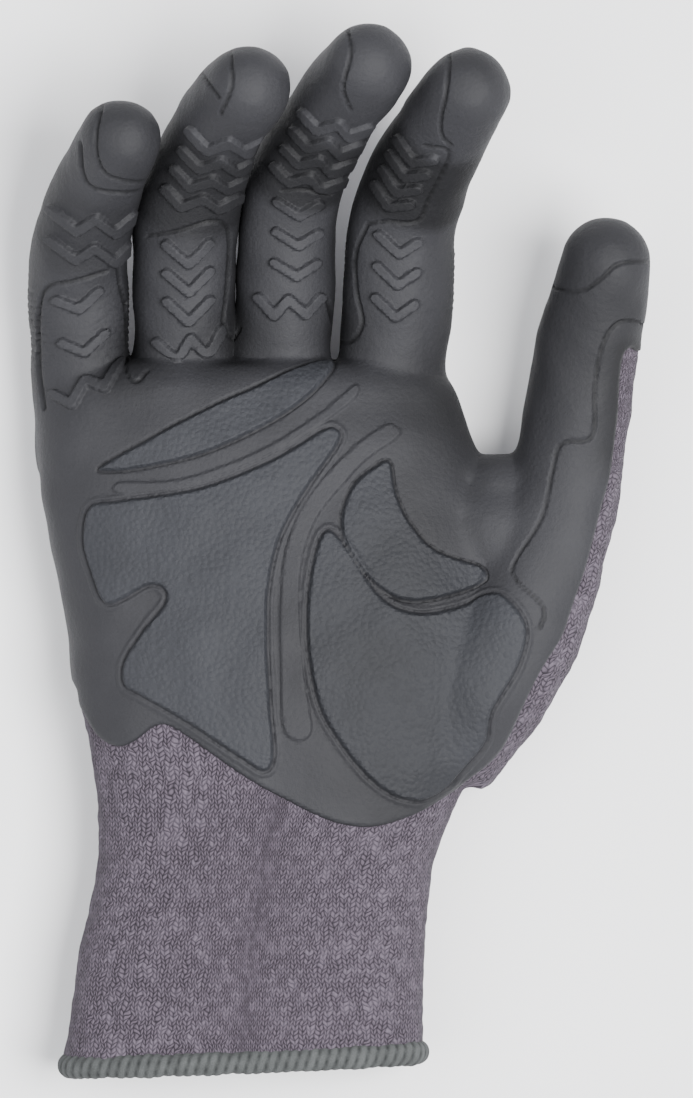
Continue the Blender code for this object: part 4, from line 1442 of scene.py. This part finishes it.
    def pieces(self) -> list[Piece]:
        """Divides the skin's faces among the pieces."""
        skin = self.skin
        outs = np.stack([skin.of_faces(f"out{k}") for k in range(len(self.digits))])
        nearest = outs.argmin(0)
        rubber = skin.of_faces("rubber") > 0.0
        self.territory = np.full(len(skin.faces), -1)
        made = []
        taken = np.zeros(len(skin.faces), bool)
        for k, digit in enumerate(self.digits):
            run = skin.of_faces(f"run{k}")
            starts = self.starts(digit) + [FAR]
            own = (nearest == k) & (outs[k] < self.digit_reach)
            self.territory[own & (run > starts[0])] = k
            for j, span in enumerate(self.spans(digit)):
                part = own & (run > starts[j]) & (run <= starts[j + 1])
                taken |= part
                at = digit.joint_at[j]
                ahead = look_up(self.joint_run(digit, j), digit.run, digit.along())
                reach = unit(ahead) * self.bend_reach
                layers = (
                    ("rubber", part & rubber, Layer.RUBBER, span.rubber_nodes),
                    ("knit", part & ~rubber, Layer.KNIT, span.knit_nodes),
                )
                for word, faces, layer, nodes in layers:
                    name = f"{span.name}_{word}"
                    made.append(Piece(name, faces, layer, nodes, span.bodies, (at - reach, at + reach)))
        cuff = ~taken & (skin.of_faces("y") < 0.0)
        hand = ~taken & ~cuff
        for name in self.pattern.pads():
            part = hand & rubber & (skin.of_faces(name) > 0.0)
            made.append(Piece(name, part, Layer.PAD, (name,), ("hand",)))
            hand = hand & ~part
        made.append(Piece("palm_rubber", hand & rubber, Layer.RUBBER, ("palm_grip",), ("hand",)))
        made.append(Piece("hand_knit", hand & ~rubber, Layer.KNIT, ("palm_liner",), ("hand",)))
        ends = tuple(np.array([0.0, y, self.wrist_z]) for y in self.wrist_bend)
        nodes = ("cuff_knit", "wrist_sleeve")
        made.append(Piece("cuff_tube", cuff, Layer.KNIT, nodes, ("hand", "cuff"), ends))
        return made

    def spans(self, digit: Digit) -> list[Span]:
        """The digit's pieces, each with the bodies on its two sides and the nodes it stands for."""
        name = digit.name
        bones = ["proximal", "middle", "tip"] if len(digit.joint_at) == 3 else ["proximal", "tip"]
        words = ["root", "mid", "end"] if len(bones) == 3 else ["root", "end"]
        bodies = ["hand"] + [f"{name}_{bone}" for bone in bones]
        made = []
        for j, bone in enumerate(bones):
            hard = f"{name}_{bone}_cap" if bone == "tip" else f"{name}_{bone}_grip"
            knit = (f"{name}_{bone}_liner", f"{name}_{digit.joints[j]}_sleeve")
            made.append(Span(f"{name}_{words[j]}", (bodies[j], bodies[j + 1]), (hard,), knit))
        return made

    def stitches(self) -> np.ndarray:
        """Where each corner of each face lies in the knit, as wales round and courses along."""
        skin = self.skin
        faces, points = skin.faces, skin.points
        low, high = self.form.sections[0][0], self.form.sections[-1][0]
        places = np.linspace(low, high, self.section_samples)
        table = np.array([self.form.section(place) for place in places])
        left, right, middle, depth = look_up(points[:, 1], places, table).T
        up = (points[:, 2] - middle) / depth
        angle = np.arctan2(up, (points[:, 0] - (left + right) / 2) / ((right - left) / 2))
        turns = np.linspace(-math.pi, math.pi, self.ring_samples)
        length = lengths_along(self.form.ring(self.girth_y, turns))
        share = np.interp(angle, turns, length / length[-1])
        corner = np.stack([share[faces] * self.form.wale_count, points[faces, 1] / self.course], 2)
        whole = np.full(len(faces), float(self.form.wale_count))
        for k, digit in enumerate(self.digits):
            own = self.territory == k
            wales = round(2.0 * math.pi * float(np.mean(digit.width)) / self.digit_wale)
            corner[own, :, 0] = skin.values[f"turn{k}"][faces[own]] / (2.0 * math.pi) * wales
            corner[own, :, 1] = skin.values[f"run{k}"][faces[own]] / self.course
            whole[own] = wales
        furthest = corner[:, :, 0].max(1, keepdims=True)
        wraps = (furthest - corner[:, :, 0]) > whole[:, None] / 2.0
        corner[:, :, 0] += wraps * whole[:, None]
        return corner

    def make(self, materials: dict[str, bpy.types.Material]) -> None:
        """Turns every piece into a closed mesh. A piece with one body rides it; one between two bodies
        stays in place.

        Args:
            materials: the materials by their use.
        """
        skin = self.skin
        pieces = self.pieces()
        corner = self.stitches()
        hard = np.zeros(len(skin.faces), bool)
        for piece in pieces:
            if piece.layer is not Layer.KNIT:
                hard |= piece.faces
        normals = {
            True: skin.normals(self.outer, skin.faces[hard]),
            False: skin.normals(self.outer, skin.faces[~hard]),
        }
        lining = -skin.normals(self.inner, skin.faces)
        looks = {Layer.KNIT: "knit", Layer.RUBBER: "rubber", Layer.PAD: "pad"}
        for piece in pieces:
            shade = normals[piece.layer is not Layer.KNIT]
            pair = (materials[looks[piece.layer]], materials["lining"])
            made = self.mesh(piece, shade, lining, corner, pair)
            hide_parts(*piece.nodes)
            if piece.ends is None:
                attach(made, piece.bodies[0])
            else:
                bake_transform(made)
            LOG.info("%s: %d faces", made.name, len(made.data.polygons))

    def mesh(
        self,
        piece: Piece,
        shade: np.ndarray,
        lining: np.ndarray,
        corner: np.ndarray,
        looks: tuple[bpy.types.Material, bpy.types.Material],
    ) -> bpy.types.Object:
        """A piece's mesh: its outer face, its lining, and the rim that closes them.

        Args:
            piece: the piece.
            shade: the outer points' normals.
            lining: the inner points' normals.
            corner: each face corner's place in the knit.
            looks: the outer and the inner material.

        Returns:
            The object.
        """
        faces = self.skin.faces[piece.faces]
        used, local = np.unique(faces, return_inverse=True)
        local = local.reshape(-1, 3)
        count = len(used)
        sides = np.concatenate([local[:, [0, 1]], local[:, [1, 2]], local[:, [2, 0]]])
        keys = sides[:, 0] * count + sides[:, 1]
        twins = sides[:, 1] * count + sides[:, 0]
        rim = sides[~np.isin(keys, twins)]
        quads = np.stack([rim[:, 1], rim[:, 0], rim[:, 0] + count, rim[:, 1] + count], 1)
        turned = local[:, ::-1]
        points = np.vstack([self.outer[used], self.inner[used]]) * MM
        mesh = bpy.data.meshes.new(piece.name)
        faces = local.tolist() + (turned + count).tolist() + quads.tolist()
        mesh.from_pydata(points.tolist(), [], faces)
        for look in looks:
            mesh.materials.append(look)
        looks_of = (np.arange(len(faces)) >= len(local)).astype(int)
        mesh.polygons.foreach_set("material_index", looks_of)
        knit = mesh.uv_layers.new(name="knit")
        maps = corner[piece.faces]
        rims = np.zeros((len(quads) * 4, 2))
        flat = np.concatenate([maps.reshape(-1, 2), maps[:, ::-1].reshape(-1, 2), rims])
        knit.data.foreach_set("uv", flat.ravel())
        # The relief and the painted shade go to the mesh as values that the rubber's colour reads.
        for key in ("relief", "shade"):
            layer = mesh.attributes.new(key, "FLOAT", "POINT")
            layer.data.foreach_set("value", np.tile(self.skin.values[key][used], 2))
        outside = shade[used][local].reshape(-1, 3)
        within = lining[used][turned].reshape(-1, 3)
        loops = np.concatenate([outside, within, self.rim_normals(points, quads)])
        mesh.polygons.foreach_set("use_smooth", np.ones(len(mesh.polygons), bool))
        mesh.normals_split_custom_set(loops.tolist())
        made = bpy.data.objects.new(piece.name, mesh)
        bpy.context.scene.collection.objects.link(made)
        return made

    def rim_normals(self, points: np.ndarray, quads: np.ndarray) -> np.ndarray:
        """The rim faces' own flat normals, one for each of their corners."""
        a, b, _, d = (points[quads[:, k]] for k in range(4))
        return np.repeat(unit(np.cross(b - a, d - a)), 4, axis=0)


@dataclass
class Hem:
    """The overlocked hem: a thick ring of threads round the cuff's open end.

    Attributes:
        inset: how far inside the cuff's surface the ring's middle runs.
        radius: half the ring's thickness, without the threads' crowns.
        wraps: how many threads go round it.
        crown: how far each thread stands up.
        lean: how much a thread leans on its way round.
        overhang: how far below the cuff's end the ring's middle runs.
        swings, swing_height: how often and how far the ring's thickness varies.
        lowest: the lowest that it lies over the floor.
        samples, sides: how many points a thread has along the ring, and the ring has round it.
        ring_samples: how closely the cuff's girth is measured.
        ahead: how far on its direction is taken, as a share of the girth.
    """

    inset: float = 1.3
    radius: float = 2.5
    wraps: int = 170
    crown: float = 0.3
    lean: float = 2.2
    overhang: float = 1.6
    swings: float = 40.0
    swing_height: float = 0.35
    lowest: float = 0.3
    samples: int = 10
    sides: int = 24
    ring_samples: int = 1441
    ahead: float = 1e-3

    def make(self, shell: Shell, material: bpy.types.Material) -> bpy.types.Object:
        """Builds the ring from a torus.

        Args:
            shell: the glove's wall, whose open end the hem closes.
            material: the yarn's finish.

        Returns:
            The object.
        """
        deselect()
        count = self.wraps * self.samples
        bpy.ops.mesh.primitive_torus_add(
            major_segments=count, minor_segments=self.sides, major_radius=1.0, minor_radius=0.25
        )
        ring = bpy.context.object
        ring.name = "cuff_hem_ring"
        points = np.zeros(len(ring.data.vertices) * 3)
        ring.data.vertices.foreach_get("co", points)
        points = points.reshape(-1, 3)
        turn = np.arctan2(points[:, 1], points[:, 0])
        out = np.hypot(points[:, 0], points[:, 1]) - 1.0
        around = np.arctan2(points[:, 2], out)
        places = np.linspace(-math.pi, math.pi, self.ring_samples)
        path = shell.form.ring(shell.opening[0], places)
        length = lengths_along(path)
        length = length / length[-1]
        share = (turn + math.pi) / (2.0 * math.pi)
        centre = look_up(share, length, path)
        ahead = share + self.ahead
        step = np.stack([np.interp(ahead, length, column, period=1.0) for column in path.T], 1)
        tangent = unit(step - centre)
        outward = np.cross(tangent, np.array([0.0, 1.0, 0.0]))
        middle = path.mean(0)
        outward *= np.sign(((centre - middle) * outward).sum(1))[:, None]
        centre -= outward * self.inset
        centre[:, 1] = shell.end_at(centre[:, 0]) - self.overhang
        phase = share * self.wraps + self.lean * around / (2.0 * math.pi)
        swing = np.array([noise.noise(Vector((s * self.swings, 0.0, 0.0))) for s in share])
        thread = np.abs(np.sin(math.pi * phase))
        size = self.radius + self.crown * thread + self.swing_height * swing
        placed = centre + outward * (np.cos(around) * size)[:, None]
        placed[:, 1] -= np.sin(around) * size
        placed[:, 2] = np.maximum(placed[:, 2], self.lowest)
        ring.data.vertices.foreach_set("co", placed.ravel() * MM)
        relief = ring.data.attributes.new("relief", "FLOAT", "POINT")
        relief.data.foreach_set("value", thread)
        ring.data.materials.append(material)
        bpy.ops.object.mode_set(mode="EDIT")
        bpy.ops.mesh.select_all(action="SELECT")
        bpy.ops.mesh.normals_make_consistent(inside=False)
        bpy.ops.object.mode_set(mode="OBJECT")
        bpy.ops.object.shade_smooth()
        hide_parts("cuff_hem")
        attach(ring, "cuff")
        LOG.info("hem: %d faces", len(ring.data.polygons))
        return ring


# ---------------------------------------------------------------------------------------------
# Studio
# ---------------------------------------------------------------------------------------------


@dataclass(frozen=True)
class Lamp:
    """A soft square light that looks at the glove."""

    name: str
    place: tuple[float, float, float]
    size: float
    power: float

    def make(self) -> None:
        """Adds the light and turns it to the glove's middle."""
        bpy.ops.object.light_add(type="AREA", location=self.place)
        lamp = bpy.context.object
        lamp.name = self.name
        lamp.data.size = self.size
        lamp.data.energy = self.power
        lamp.rotation_euler = (-Vector(self.place)).to_track_quat("-Z", "Y").to_euler()
        lamp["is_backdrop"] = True


@dataclass(frozen=True)
class Studio:
    """A plain pale floor under soft light, stronger from the thumb side."""

    lamps: tuple[Lamp, ...] = (
        Lamp("key", (0.45, -0.1, 1.1), 0.6, 34.0),
        Lamp("fill", (-0.7, -0.1, 1.2), 1.2, 14.0),
    )
    floor_size: float = 6.0
    floor_colour: tuple[float, float, float] = (247, 247, 248)
    sky: float = 0.75

    def make(self) -> None:
        """Adds the floor, the lamps and the sky."""
        deselect()
        bpy.ops.mesh.primitive_plane_add(size=self.floor_size, location=(0.0, 0.0, 0.0))
        floor = bpy.context.object
        floor.name = "floor"
        graph = Graph("floor_paper")
        graph.shader.inputs["Base Color"].default_value = linear(self.floor_colour)
        graph.shader.inputs["Roughness"].default_value = 0.85
        floor.data.materials.append(graph.material)
        floor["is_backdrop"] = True
        for lamp in self.lamps:
            lamp.make()
        world = bpy.data.worlds.new("sky")
        world.use_nodes = True
        world.node_tree.nodes["Background"].inputs["Color"].default_value = (0.94, 0.96, 1.0, 1.0)
        world.node_tree.nodes["Background"].inputs["Strength"].default_value = self.sky
        bpy.context.scene.world = world


def bounds(objects: list[bpy.types.Object]) -> list[list[float]]:
    """The low and the high corner of the box round these objects, in metres."""
    low, high = np.full(3, FAR), np.full(3, -FAR)
    for item in objects:
        points = np.zeros(len(item.data.vertices) * 3)
        item.data.vertices.foreach_get("co", points)
        points = points.reshape(-1, 3)
        low, high = np.minimum(low, points.min(0)), np.maximum(high, points.max(0))
    return [low.tolist(), high.tolist()]


def main() -> None:
    """Builds the glove's looks over the CAD frame, and the studio round it."""
    logging.basicConfig(level=logging.INFO, format="%(name)s %(message)s")
    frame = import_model()
    cad = [list(map(float, corner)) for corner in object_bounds()]
    joints = {joint["name"]: joint for joint in frame["joints"]}
    digits = glove_digits(joints)
    materials = Finishes().build()
    shell = Shell(digits, Pattern(), Form())
    shell.build()
    before = set(bpy.data.objects)
    shell.make(materials)
    Hem().make(shell, materials["hem"])
    seen = [item for item in bpy.data.objects if item not in before and item.type == "MESH"]
    {"cad": cad, "visual": bounds(seen)}
    EYE.make_camera()
    Studio().make()


if __name__ == "__main__":
    main()
